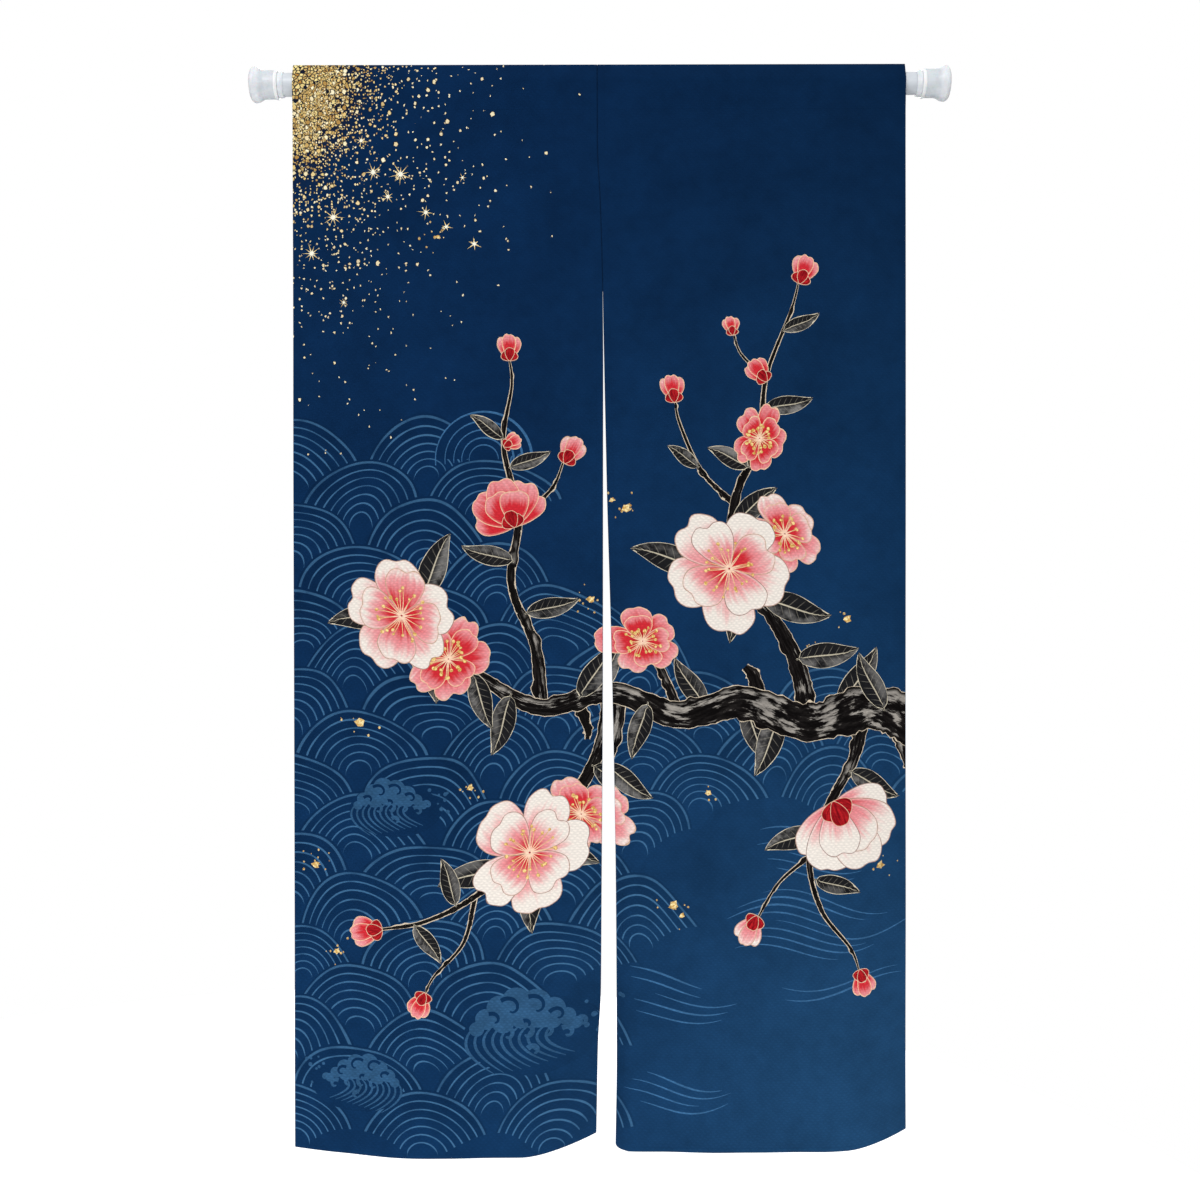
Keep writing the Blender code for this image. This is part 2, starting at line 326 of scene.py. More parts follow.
def petal(bloom, angle, start, length, half_width, tone, seed, notch=0.07, dye="petal"):
    """One petal of a bloom, from near its middle out to a notched, softly waved rim."""
    dice = random.Random(seed)
    t = np.linspace(0, math.tau, PETAL_POINTS, endpoint=False)
    share = 0.5 - 0.5 * np.cos(t)
    across = np.sign(np.sin(t)) * petal_width(share, half_width)
    waves = sum(
        dice.uniform(low, high) * np.sin(count * t + dice.uniform(0, 6))
        for count, low, high in PETAL_WAVES
    )
    dip = notch * np.exp(-((across / (0.24 * half_width)) ** 2)) * (share > 0.6)
    along = start + length * (share + waves * share - dip)
    across = across * (1 + waves) + half_width * dice.uniform(-0.1, 0.1) * share**2
    outline = onto_cloth(bloom, turned(np.column_stack([along, across]), angle))

    def place(points):
        own = turned(off_cloth(bloom, points), -angle)
        share = np.clip((own[:, 0] - start) / length, 0, 1)
        width = petal_width(np.clip(share, 0.04, 0.9), half_width)
        return share, np.clip(own[:, 1] / width, -1.2, 1.2)

    return Motif(dye, outline, place, tone, dice.uniform(0, 40))


def smooth_line(points, steps=10):
    """A denser run of points on a smooth curve through the given ones, whatever their columns."""
    p = np.array(points, float)
    p = np.vstack([2 * p[0] - p[1], p, 2 * p[-1] - p[-2]])
    t = np.linspace(0, 1, steps, endpoint=False)[:, None]
    runs = []
    for a, b, c, d in zip(p, p[1:], p[2:], p[3:]):
        square, cube = 2 * a - 5 * b + 4 * c - d, 3 * b - a - 3 * c + d
        runs.append(0.5 * (2 * b + (c - a) * t + square * t**2 + cube * t**3))
    return np.vstack([*runs, p[-2:-1]])


def nearest_on(line, points):
    """(distance along the line, signed distance from it) of each point."""
    start, run = line[:-1], np.diff(line, axis=0)
    lengths = np.linalg.norm(run, axis=1)
    passed = run_lengths(line)[:-1]
    from_start = points[:, None] - start[None]
    share = np.clip((from_start * run).sum(2) / (lengths**2), 0, 1)
    off = from_start - share[..., None] * run
    squared = (off**2).sum(2)
    pick = np.argmin(squared, axis=1)
    rows = np.arange(len(points))
    turn = run[pick, 0] * from_start[rows, pick, 1] - run[pick, 1] * from_start[rows, pick, 0]
    along = passed[pick] + share[rows, pick] * lengths[pick]
    return along, np.sqrt(squared[rows, pick]) * np.sign(turn)


def ribbon(dye, line, widths, tone, seed, unit=None, other=None):
    """A brushed shape along a line, with a half width at each of its points, and another for its
    far side if given. With a unit, along is measured in steps of that many millimetres."""
    widths = np.asarray(widths, float)
    run = unit_vectors(np.gradient(line, axis=0))
    normal = np.column_stack([-run[:, 1], run[:, 0]])
    far = widths if other is None else other
    outline = np.vstack([line + normal * widths[:, None], (line - normal * far[:, None])[::-1]])
    lengths = run_lengths(line)

    def place(points):
        along, off = nearest_on(line, points)
        width = np.interp(along, lengths, np.maximum((widths + far) / 2, 0.25))
        return along / (unit or lengths[-1]), np.clip(off / width, -1.2, 1.2)

    return Motif(dye, outline, place, tone, seed)


BARK_STEPS = 16  # points of a stem between two given ones
BARK_ROUGH, BARK_SWELL = 0.07, 0.10  # how uneven it is, finely and over a few points
SWELL_STEPS = 5
KNOT_STEPS = 22


def branch(points, seed):
    """A woody stem through (x, y, half width), rough, and knotted where twigs broke."""
    dice = random.Random(seed)
    dense = smooth_line(points, BARK_STEPS)
    line, count = dense[:, :2], len(dense)
    sides = []
    for _ in range(2):
        rough = np.array([dice.uniform(-1, 1) for _ in range(count)])
        swells = range(0, count + SWELL_STEPS, SWELL_STEPS)
        swell = np.interp(range(count), swells, [dice.uniform(-1, 1) for _ in swells])
        width = dense[:, 2] * (1 + BARK_ROUGH * rough + BARK_SWELL * swell)
        for _ in range(max(2, count // KNOT_STEPS)):
            knot = dice.randrange(3, count - 3)
            grown = dice.uniform(0.8, 2.0) + 0.14 * dense[knot, 2]
            width[knot - 1 : knot + 2] += (0.6 * grown, grown, 0.7 * grown)
        sides.append(np.maximum(width, 0.4))
    return ribbon("wood", line, sides[0], dice.uniform(0, 1), dice.uniform(0, 40), 100, sides[1])


def leaf(x, y, angle, length, half_width, bend, seed):
    """A pointed leaf on a short stalk, bent to one side."""
    dice = random.Random(seed)
    share = np.linspace(0, 1, 24)
    bow = bend * length * np.sin(share * math.pi * 0.8) * share
    line = turned(np.column_stack([share * length, bow]), math.radians(angle)) + (x, y)
    widths = half_width * np.sin(math.pi * share**0.86) ** 0.85 * (1 - 0.16 * share)
    widths = np.maximum(widths, 0.5 * (1 - share) + 0.06)
    widths[share < 0.08] = 1.1
    return ribbon("leaf", line, widths, dice.uniform(0, 1), dice.uniform(0, 40))


def dot(dye, x, y, radius, tone, seed, squash=1.0, turn=0.0, sides=10):
    """A small round or oval shape."""
    angles = np.linspace(0, math.tau, sides, endpoint=False)
    outline = turned(arc(0.0, 0.0, radius, angles, squash), turn) + (x, y)
    return Motif(dye, outline, middle_place(x, y, radius), tone, seed)


def middle_place(x, y, radius):
    """Measures a small shape from its middle."""
    return lambda points: ((points[:, 0] - x) / radius, (points[:, 1] - y) / radius)


STAMENS = 24
THREAD_SHARES = (0.05, 0.3, 0.55, 0.8, 1.0)  # points along a stamen's thread
THREAD_WIDTHS = (0.75, 0.65, 0.55, 0.5, 0.45)  # and its half widths there
BLOOM_ROUNDS = (
    # petals, length and half width as shares of the bloom, turned by this share of a petal, deeper
    (5, 1.0, 0.46, 0.0, 0.0),
    (4, 0.76, 0.40, 0.45, 0.1),
)


def stamens(bloom, radius, count, seed, tone):
    """Fine threads from the middle of a bloom, each with a gold head."""
    dice = random.Random(seed)
    threads, heads, share = [], [], np.array(THREAD_SHARES)
    for i in range(count):
        a = math.tau * (i + dice.uniform(-0.35, 0.35)) / count
        reach = radius * dice.uniform(0.28, 0.5)
        bow = dice.uniform(-0.2, 0.2)
        line = onto_cloth(bloom, arc(0.0, 0.0, reach * share, a + bow * share))
        threads.append(ribbon("thread", line, THREAD_WIDTHS, tone, a))
        size = dice.uniform(2.1, 3.1)
        heads.append(dot("anther", *line[-1], size, tone, a, 0.85, dice.uniform(0, 3)))
    return threads + heads


def open_bloom(x, y, radius, tone, seed, turn=0.0, squash=0.86, lean=0.5):
    """A wide open bloom with an outer and an inner round of petals."""
    dice = random.Random(seed)
    bloom = Bloom(x, y, turn, squash, lean)
    shapes = []
    for count, length, width, offset, deeper in BLOOM_ROUNDS:
        order = list(range(count))
        dice.shuffle(order)
        for i in order:
            shapes.append(
                petal(
                    bloom,
                    math.tau * (i + offset) / count + dice.uniform(-0.1, 0.1),
                    0.03 * radius,
                    radius * length * dice.uniform(0.93, 1.06),
                    radius * width * dice.uniform(0.92, 1.06),
                    min(1.0, max(0.0, tone + deeper + dice.uniform(-0.16, 0.26))),
                    seed * 31 + len(shapes),
                    notch=dice.uniform(0.05, 0.11),
                )
            )
    shapes.append(dot("sepal", x, y, radius * 0.055, 0.3, 1.0))
    return shapes + stamens(bloom, radius, STAMENS, seed + 5, tone)


# angle, length and half width of each petal of a half-open bloom, the farthest first
CUP_PETALS = (
    (-62, 0.84, 0.30),
    (60, 0.86, 0.31),
    (-34, 1.0, 0.36),
    (36, 0.98, 0.37),
    (0, 1.04, 0.38),
    (-16, 0.80, 0.34),
    (22, 0.76, 0.33),
)
BUD_PETALS = ((-15, 0.94, 0.33), (16, 0.92, 0.34), (0, 1.0, 0.30))
SCALE_PETALS = ((-44, 0.9, 0.42), (46, 0.86, 0.42), (2, 1.05, 0.42))


def side_bloom(x, y, size, tone, seed, turn, petals, scale_size):
    """A bloom or bud seen from the side, held by small overlapping scales."""
    bloom = Bloom(x, y, math.radians(turn), 1.0, 0.0)
    shapes = []
    for i, (angle, length, width) in enumerate(petals):
        place = (math.radians(angle), 0.0, size * length, size * width)
        shapes.append(petal(bloom, *place, min(1.0, tone + 0.12 * (i % 3)), seed * 17 + i, 0.05))
    small = size * scale_size
    for i, (angle, length, width) in enumerate(SCALE_PETALS):
        place = (math.radians(angle), -0.12 * small, small * length, small * width)
        shapes.append(petal(bloom, *place, 0.5, seed + i, 0.0, "sepal"))
    return shapes


def star(x, y, radius, points, seed, waist=0.17, tone=1.0):
    """A spark with long and short points, or a broken flake if its waist is wide."""
    dice = random.Random(seed)
    angles = np.linspace(0, math.tau, 2 * points, endpoint=False) + dice.uniform(0, 1)
    spokes = np.arange(2 * points)
    reach = np.where(spokes % 2, waist, np.where(spokes % 4, 0.72, 1.0)) * radius
    reach = reach * np.array([dice.uniform(0.78, 1.12) for _ in angles])
    return Motif("gold_leaf", arc(x, y, reach, angles), middle_place(x, y, radius), tone, seed)


def sprinkle(x, y, reach, count, seed):
    """Gold dots scattered round a place, closest together in its middle."""
    dice = random.Random(seed)
    dots = []
    for _ in range(count):
        a, far = dice.uniform(0, math.tau), reach * dice.random() ** 1.4
        size = dice.uniform(0.7, 1.9)
        place = (x + far * math.cos(a), y + 0.8 * far * math.sin(a))
        tone, squash = dice.random(), dice.uniform(1.0, 1.3)
        dots.append(dot("gold_leaf", *place, size, tone, a, squash, sides=8))
    return dots


STROKE_POINTS = 26


def swell_lines():
    """Long tapered strokes of smooth water in bundles."""
    strokes = []
    taper = np.sin(math.pi * np.linspace(0, 1, STROKE_POINTS)) ** 0.7
    for n, (x, y, length, count, spacing, swing, wave, phase) in enumerate(SWELLS):
        dice = random.Random(700 + n)
        for lane in range(count):
            start = x + dice.uniform(-0.12, 0.2) * length
            end = start + length * dice.uniform(0.55, 1.0)
            xs = np.linspace(start, end, STROKE_POINTS)
            ys = y + lane * spacing * (1 - 0.35 * (xs - x) / length)
            ys += swing * np.sin(math.tau * xs / wave + phase + 0.16 * lane)
            widths = 0.15 + dice.uniform(0.8, 1.25) * taper
            strokes.append(ribbon("water", np.column_stack([xs, ys]), widths, dice.random(), lane))
    return strokes


def still_water(outline):
    """Ground without scales, for other water to be printed on."""
    return Motif("ground", outline, middle_place(0.0, 0.0, 1.0), 1.0, 0.0)


HOOK_TURN = 4.3  # how far round a rolling wave's hook curls, in radians


def hooked_wave(x, y, radius, curl, width):
    """One line of a rolling wave, over the top and then curling back in a small hook."""
    line = arc(x, y, radius, np.linspace(math.pi * 0.96, math.tau, STROKE_POINTS))
    if curl:
        turn = np.linspace(0, HOOK_TURN, 18)[1:]
        hook = arc(x + radius - curl, y, curl * (1 - 0.07 * turn), turn)
        line = np.vstack([line, hook])
    share = np.linspace(0, 1, len(line))
    return ribbon("water", line, width * (0.35 + 0.65 * np.sin(math.pi * share**1.4)), 0.5, 1)


def spiral(dye, x, y, radius, start, sweep, width, tone):
    """A curling finger of foam, or of the water between it, that narrows to its tip."""
    share = np.linspace(0, 1, 30)
    line = arc(x, y, radius * (1 - 0.8 * share**0.8), start + sweep * share)
    return ribbon(dye, line, width * (1.0 - 0.7 * share) + 0.25, tone, 1)


LIP_LINES = 10  # lines of falling water below a crest's lip
SPRAY_DROPS = 8


def crest(x, y, size, side, seed):
    """A breaking wave: a head of round foam, curls hanging from its lip, the hollow below them and
    spray before it."""
    dice = random.Random(seed)

    def place(along, below):
        return x + side * size * along, y + size * below

    def curls(table, dye, tone, thick):
        for along, below, radius, sweep in table:
            start = -math.pi / 2 - dice.uniform(0.6, 1.2) * side
            middle = place(along, below)
            yield spiral(dye, *middle, radius * size, start, side * sweep, size * thick, tone)

    pool = arc(0.02, 0.2, 0.86, np.linspace(0, math.tau, 40, endpoint=False), 0.5 / 0.86)
    shapes = [still_water(np.column_stack(place(*pool.T)))]
    down = np.linspace(0, 1, 14)
    for i in range(LIP_LINES):
        share = i / (LIP_LINES - 1)
        foot = 0.62 - 0.2 * share
        along = -0.66 + 0.98 * share - 0.16 * np.sin(math.pi * down**0.8) + 0.22 * down**3
        line = np.column_stack(place(along, 0.06 + foot * down))
        widths = size * 0.016 * np.sin(math.pi * (0.1 + 0.86 * down)) + 0.25
        shapes.append(ribbon("foam", line, widths, 0.5, i))
    shapes += curls(FOAM_CURLS, "foam", 0.5, 0.034)
    for along, above, radius in FOAM_HEAD:
        radius *= size * dice.uniform(0.95, 1.08)
        shapes.append(dot("foam", *place(along, -above), radius, 0.5, 1, 0.94, 0.4, 26))
    shapes += curls(FOAM_HOLLOWS, "ground", 1.0, 0.026)
    for _ in range(SPRAY_DROPS):
        spray = place(dice.uniform(0.62, 1.0), dice.uniform(-0.3, 0.3))
        shapes.append(dot("foam", *spray, size * dice.uniform(0.018, 0.04), 0.5, 1))
    return shapes


# along, above and radius of the round lobes of a foam head, as shares of its size
FOAM_HEAD = (
    (-0.68, -0.12, 0.09), (-0.57, 0.0, 0.13), (-0.40, 0.13, 0.16), (-0.20, 0.22, 0.18),
    (0.04, 0.20, 0.17), (0.25, 0.11, 0.15), (0.42, 0.0, 0.11), (0.54, -0.1, 0.08),
    (-0.36, -0.04, 0.13), (-0.14, 0.03, 0.14), (0.08, 0.02, 0.13), (0.26, -0.04, 0.1),
)
# along, below, radius and sweep of the curls that hang from it
FOAM_CURLS = (
    (-0.30, 0.19, 0.12, 4.6), (-0.06, 0.17, 0.13, 4.9), (0.18, 0.18, 0.12, 4.4),
    (0.44, 0.22, 0.10, 4.8), (0.62, 0.10, 0.07, 5.0), (0.04, 0.40, 0.09, 4.2),
)
# and of the gaps that curl into the head
FOAM_HOLLOWS = (
    (-0.47, 0.02, 0.11, 3.4), (-0.27, -0.13, 0.16, 4.3), (0.04, -0.14, 0.17, 3.8),
    (0.31, -0.02, 0.12, 4.4), (-0.06, 0.07, 0.07, 3.0),
)


BRANCHES = (
    # the main branch, from the right edge to the left panel
    ((880, 925, 36), (800, 893, 31), (705, 914, 27), (612, 884, 22), (520, 903, 19), (430, 872, 15),
     (340, 891, 12), (262, 852, 9), (196, 806, 6), (160, 772, 4)),
    # up the right panel
    ((704, 908, 16), (694, 838, 12), (655, 765, 10), (606, 694, 8), (604, 610, 6), (642, 524, 4.5),
     (652, 436, 3.4), (688, 344, 2.4), (700, 300, 1.2)),
    # up the left panel
    ((342, 889, 9), (332, 806, 8), (300, 722, 6), (309, 628, 5), (289, 528, 3.6), (300, 446, 2.4),
     (296, 404, 1.2)),
    # down the left panel
    ((436, 873, 12), (421, 950, 10), (381, 1021, 8), (327, 1084, 6.5), (252, 1152, 4.6),
     (184, 1186, 3.4), (122, 1198, 1.8)),
    # down the right panel
    ((786, 893, 13), (772, 962, 9), (738, 1022, 7), (706, 1098, 5), (722, 1172, 3.6),
     (764, 1226, 2.4), (778, 1262, 1.2)),
    # short twigs
    ((606, 612, 5), (560, 566, 3.4), (530, 500, 2.4), (523, 462, 1.3)),
    ((252, 1152, 4), (236, 1216, 3), (196, 1262, 2), (182, 1290, 1.2)),
    ((520, 899, 8), (498, 846, 6), (476, 806, 4)),
    ((309, 628, 3.4), (354, 590, 2.6), (372, 548, 1.4)),
    ((652, 436, 2.8), (618, 404, 2), (606, 372, 1.2)),
    ((706, 1098, 3.6), (660, 1136, 2.6), (628, 1186, 1.6)),
    # broken stubs
    ((640, 892, 14), (628, 850, 9), (616, 836, 6)),
    ((842, 905, 22), (856, 962, 13), (862, 986, 9)),
    ((392, 884, 9), (404, 920, 6), (404, 936, 4)),
)

LEAVES_BEHIND = 4  # this many of the leaves lie behind the branches
LEAVES = (
    # x, y, angle, length, half width, bend
    (612, 884, 62, 92, 19, 0.12),
    (560, 894, -118, 84, 17, -0.12),
    (668, 898, 118, 98, 20, -0.10),
    (750, 896, -62, 104, 20, 0.14),
    (818, 898, -110, 90, 18, -0.14),
    (690, 826, -14, 92, 19, 0.12),
    (640, 742, 8, 104, 21, 0.14),
    (560, 700, -168, 108, 21, 0.10),
    (600, 640, -34, 84, 17, -0.12),
    (604, 700, 98, 104, 20, -0.08),
    (628, 560, -160, 66, 14, 0.12),
    (648, 480, -18, 72, 14, 0.14),
    (676, 372, -32, 58, 11, 0.16),
    (476, 884, 104, 84, 17, 0.10),
    (392, 880, -64, 88, 18, 0.12),
    (300, 872, 112, 90, 18, -0.12),
    (246, 842, 66, 84, 17, 0.12),
    (168, 778, 78, 112, 21, -0.10),
    (150, 760, 168, 104, 20, 0.12),
    (176, 742, -62, 100, 20, -0.12),
    (318, 762, -20, 78, 15, 0.12),
    (304, 690, -158, 76, 15, -0.14),
    (296, 560, -26, 62, 12, 0.12),
    (290, 520, -150, 58, 11, 0.14),
    (410, 972, 28, 84, 17, 0.14),
    (372, 1032, 152, 80, 17, -0.10),
    (330, 1092, 86, 112, 21, 0.12),
    (318, 1082, 18, 108, 21, -0.10),
    (300, 1110, 160, 104, 20, 0.12),
    (226, 1166, -112, 70, 14, 0.12),
    (168, 1190, 60, 66, 13, -0.12),
    (764, 980, 22, 84, 17, 0.12),
    (720, 1062, 156, 84, 17, 0.14),
    (712, 1130, 20, 70, 14, -0.12),
    (556, 560, -150, 54, 11, 0.12),
)

BLOOMS = (
    # x, y, radius, tone, seed, turn, squash, lean
    (676, 652, 58, 0.55, 16, 0.5, 0.80, 0.9),
    (596, 700, 90, 0.10, 11, 0.3, 0.92, 0.4),
    (214, 824, 60, 0.80, 17, 0.1, 0.82, 2.4),
    (150, 764, 84, 0.24, 12, 1.0, 0.84, 1.1),
    (396, 1040, 62, 0.62, 18, 0.6, 0.80, 0.6),
    (326, 1092, 87, 0.14, 13, 0.0, 0.86, 2.2),
    (470, 800, 54, 0.86, 14, 0.7, 0.88, 0.2),
    (642, 520, 47, 0.94, 15, 0.2, 0.80, 1.9),
)
CUPPED = (
    # x, y, size, tone, seed, turn
    (742, 1026, 98, 0.06, 41, 60),
    (304, 640, 66, 0.9, 42, -112),
)
BUDS = (
    (701, 304, 40, 0.75, 51, -72),
    (652, 440, 36, 0.9, 52, -128),
    (606, 376, 26, 0.85, 53, -100),
    (523, 468, 38, 0.8, 54, -98),
    (297, 410, 36, 0.8, 55, -92),
    (373, 552, 40, 0.55, 56, -62),
    (122, 1198, 44, 0.78, 57, 172),
    (183, 1286, 36, 0.9, 58, 112),
    (778, 1258, 38, 0.85, 59, 74),
    (628, 1182, 44, 0.3, 60, 118),
    (290, 530, 26, 0.95, 61, -30),
)
STARS = (
    # x, y, radius, points
    (112, 150, 14, 10), (150, 153, 16, 10), (132, 184, 11, 8), (56, 212, 15, 10), (184, 206, 12, 8),
    (212, 226, 10, 6), (250, 250, 12, 6), (26, 262, 15, 10), (96, 106, 10, 8), (236, 158, 7, 6),
    (70, 330, 8, 8),
)
FLAKES = (
    # x, y, radius, dots round it
    (452, 616, 8, 5), (764, 770, 7, 6), (92, 912, 9, 12), (508, 1166, 8, 5), (244, 1002, 6, 8),
    (810, 1112, 7, 4), (560, 1010, 6, 4), (408, 742, 7, 9), (30, 1110, 7, 14), (716, 826, 5, 16),
    (432, 604, 5, 3), (520, 1180, 5, 3), (60, 1230, 6, 10), (200, 240, 4, 12),
)
SWELLS = (
    # left, top, length, how many, spacing, swing, wave length, phase
    (648, 1072, 196, 6, 11, 15, 250, 0.6),
    (610, 1162, 236, 8, 11, 18, 280, 2.3),
    (640, 1270, 190, 2, 15, 15, 270, 4.1),
    (462, 1268, 168, 5, 13, 18, 300, 1.9),
    (446, 1408, 150, 4, 13, 15, 230, 5.2),
)
CRESTS = (
    # x, y, size, side, seed
    (140, 1018, 74, 1, 801),
    (332, 1322, 112, 1, 802),
    (92, 1400, 76, -1, 803),
)
SPRINKLE_REACH = 30.0
HOOKS = (
    # x, y, radius, radius of the hook, half width
    (262, 548, 66, 12, 1.9),
    (262, 548, 53, 9, 1.6),
    (262, 548, 41, 6, 1.4),
    (262, 548, 30, 0, 1.2),
    (262, 548, 20, 0, 1.0),
)


def printed_motifs():
    """Every printed shape of the design, the lowest first."""
    shapes = swell_lines()
    for row in CRESTS:
        shapes += crest(*row)
    x, y, radius = HOOKS[0][:3]
    shapes.append(still_water(arc(x, y, radius, np.linspace(math.pi, math.tau, 30))))
    shapes += [hooked_wave(*row) for row in HOOKS]
    for i, (x, y, radius, dots) in enumerate(FLAKES):
        shapes += sprinkle(x, y, SPRINKLE_REACH, dots, 500 + i)
        shapes.append(star(x, y, radius, 5, 400 + i, waist=0.62, tone=0.0))
    shapes += [leaf(*row, 200 + i) for i, row in enumerate(LEAVES[:LEAVES_BEHIND])]
    shapes += [branch(points, 100 + i) for i, points in reversed(list(enumerate(BRANCHES)))]
    shapes += [leaf(*row, 210 + i) for i, row in enumerate(LEAVES[LEAVES_BEHIND:])]
    for row in BUDS:
        shapes += side_bloom(*row, BUD_PETALS, 0.5)
    for row in CUPPED:
        shapes += side_bloom(*row, CUP_PETALS, 0.36)
    for row in BLOOMS:
        shapes += open_bloom(*row)
    for i, (x, y, radius, points) in enumerate(STARS):
        shapes.append(star(x, y, radius, points, 300 + i))
    return shapes


# ---------------------------------------------------------------- cutting the cloth along its print


MERGE_DISTANCE = 0.004
FAR_FROM_EDGE = 50.0  # what is stored as the distance to an edge where nothing is printed


def inside(points, outline):
    """Which points lie inside a closed outline."""
    x, y = points[:, 0:1], points[:, 1:2]
    x1, y1 = outline[:, 0], outline[:, 1]
    x2, y2 = np.roll(x1, -1), np.roll(y1, -1)
    height = np.where(y2 == y1, 1e-9, y2 - y1)
    crosses = ((y1 > y) != (y2 > y)) & (x < (x2 - x1) * (y - y1) / height + x1)
    return crosses.sum(1) % 2 == 1


def edge_distance(points, outline):
    """How far each point is from a closed outline."""
    run = np.roll(outline, -1, axis=0) - outline
    length = np.maximum((run**2).sum(1), 1e-9)
    from_start = points[:, None] - outline[None]
    share = np.clip((from_start * run).sum(2) / length, 0, 1)
    return np.sqrt(((from_start - share[..., None] * run) ** 2).sum(2).min(1))


def cut_along_print(low, high, rows, motifs):
    """Triangles of one flat panel that follow the outlines of its print: (points, triangles)."""
    left, right = low[0], high[0]
    count = round((right - left) / COLUMN_STEP)
    columns = [left + (right - left) * i / count for i in range(count + 1)]
    columns += [left + step for step in EDGE_STEPS] + [right - step for step in EDGE_STEPS]
    points, edges = [Vector((x, y)) for y in rows for x in columns], []
    panel = ((left, low[1]), (right, low[1]), (right, high[1]), (left, high[1]))
    for outline in (panel, *(motif.outline for motif in motifs)):
        start, total = len(points), len(outline)
        points += [Vector(p) for p in outline]
        edges += [(start + i, start + (i + 1) % total) for i in range(total)]
    found, _, triangles, *_ = delaunay_2d_cdt(points, edges, [], 0, MERGE_DISTANCE, False)
    flat = np.array([tuple(p) for p in found])
    triangles = np.array([t for t in triangles if len(t) == 3])
    middle = flat[triangles].mean(1)
    triangles = triangles[(middle > low).all(1) & (middle < high).all(1)]
    used, triangles = np.unique(triangles, return_inverse=True)
    return flat[used], triangles.reshape(-1, 3)


def print_on(flat, triangles, motifs, slot_of):
    """Each triangle's dye slot, and at its corners (along, across, edge) and (tone, seed)."""
    middle = flat[triangles].mean(1)
    slots = np.full(len(triangles), slot_of["ground"])
    place = np.zeros((len(triangles), 3, 3))
    place[..., 2] = FAR_FROM_EDGE
    own = np.zeros((len(triangles), 3, 3))
    top = np.full(len(triangles), -1)
    for i, motif in enumerate(motifs):
        low, high = motif.outline.min(0), motif.outline.max(0)
        near = np.flatnonzero(((middle >= low) & (middle <= high)).all(1))
        if len(near):
            top[near[inside(middle[near], motif.outline)]] = i
    for i in np.unique(top[top >= 0]):
        motif, mine = motifs[i], top == i
        used, where = np.unique(triangles[mine], return_inverse=True)
        along, across = motif.place(flat[used])
        values = np.column_stack([along, across, edge_distance(flat[used], motif.outline)])
        place[mine] = values[where.reshape(-1, 3)]
        own[mine] = (motif.tone, motif.seed, 0.0)
        slots[mine] = slot_of[motif.dye]
    return slots, place, own


# ---------------------------------------------------------------- sewing the panels

CLOTH = 0.5  # thickness of one layer, in millimetres
FACE_DEPTH = -0.5  # the printed layer lies this far before the solid's middle
HEM_GAP = 0.62  # between the middles of two layers
HEM_WIDTH = 11.0
BOTTOM_HEM_GAP = 1.16
BOTTOM_HEM_WIDTH = 15.0
SIDE_INSET = (HEM_GAP + CLOTH) / 2
SEAM_TAPE_WIDTH = 7.0  # each way behind the centre seam
SEAM_TAPE_DEPTH = 0.65
FOLD_ANGLES = (45, 90, 135, 180)
SHARP_ANGLE = math.radians(62)
# Where each part lies on the bake map: left and width of its right side,
# then of its wrong side, and bottom and height of both
BAKE_MAP = {
    "main": (0.004, 0.714, 0.726, 0.214, 0.004, 0.992),
    "hem": (0.946, 0.011, 0.974, 0.011, 0.13, 0.866),
    "bottom_hem": (0.946, 0.022, 0.972, 0.022, 0.03, 0.09),
    "rim": (0.95, 0.02, 0.95, 0.02, 0.004, 0.01),
}
SECOND_HEM = 0.014  # the hem on the right lies this far beside the one on the left


class Sheet:
    """Points of the cloth, each with its place on the flat cloth, its depth into the wrong side and
    the way its right side faces there, and the faces between them."""

    def __init__(self):
        self.across, self.down, self.depth, self.facing, self.flat = [], [], [], [], []
        self.faces, self.parts = [], []

    def add(self, places, depth, facing, flat):
        start, count = len(self.across), len(places)
        self.across += [p[0] for p in places]
        self.down += [p[1] for p in places]
        self.depth += [FACE_DEPTH + depth] * count
        self.facing += [facing] * count
        self.flat += [tuple(f) for f in flat]
        return list(range(start, start + count))

    def join(self, before, after, part):
        for i in range(len(before) - 1):
            self.faces.append((before[i], before[i + 1], after[i + 1], after[i]))
            self.parts.append(part)


def turned_hem(sheet, edge, gap, width, outward, axis):
    """Turns the cloth back along a run of edge points. outward is -1 or 1 along the axis (0 across
    the cloth, 1 down it) towards the outside of the panel."""
    r = gap / 2
    section = [(r * math.sin(a), r - r * math.cos(a), a) for a in map(math.radians, FOLD_ANGLES)]
    section += [(-width * s, gap, math.pi) for s in (0.5, 1.0)]
    before, run, last = edge, 0.0, (0.0, 0.0)
    for out, depth, angle in section:
        run += math.hypot(out - last[0], depth - last[1])
        last = (out, depth)
        places = [[sheet.across[i], sheet.down[i]] for i in edge]
        flat = [list(sheet.flat[i]) for i in edge]
        for place, own in zip(places, flat):
            place[axis] += outward * out
            own[axis] += outward * run
        facing = [0.0, -math.cos(angle), 0.0]
        facing[2 * axis] = outward * math.sin(angle)
        row = sheet.add(places, depth, tuple(facing), flat)
        sheet.join(before, row, "bottom_hem" if axis else "hem")
        before = row


def seam_tape(sheet, rows):
    """The felled seam behind the gap between the panels."""
    downs = [d for d in rows if d <= SEAM_END]
    before = None
    for offset in (-SEAM_TAPE_WIDTH, 0.0, SEAM_TAPE_WIDTH):
        places = [(PANEL_WIDTH + offset, d) for d in downs]
        row = sheet.add(places, SEAM_TAPE_DEPTH - FACE_DEPTH, (0.0, 1.0, 0.0), places)
        if before:
            sheet.join(before, row, "hem")
        before = row


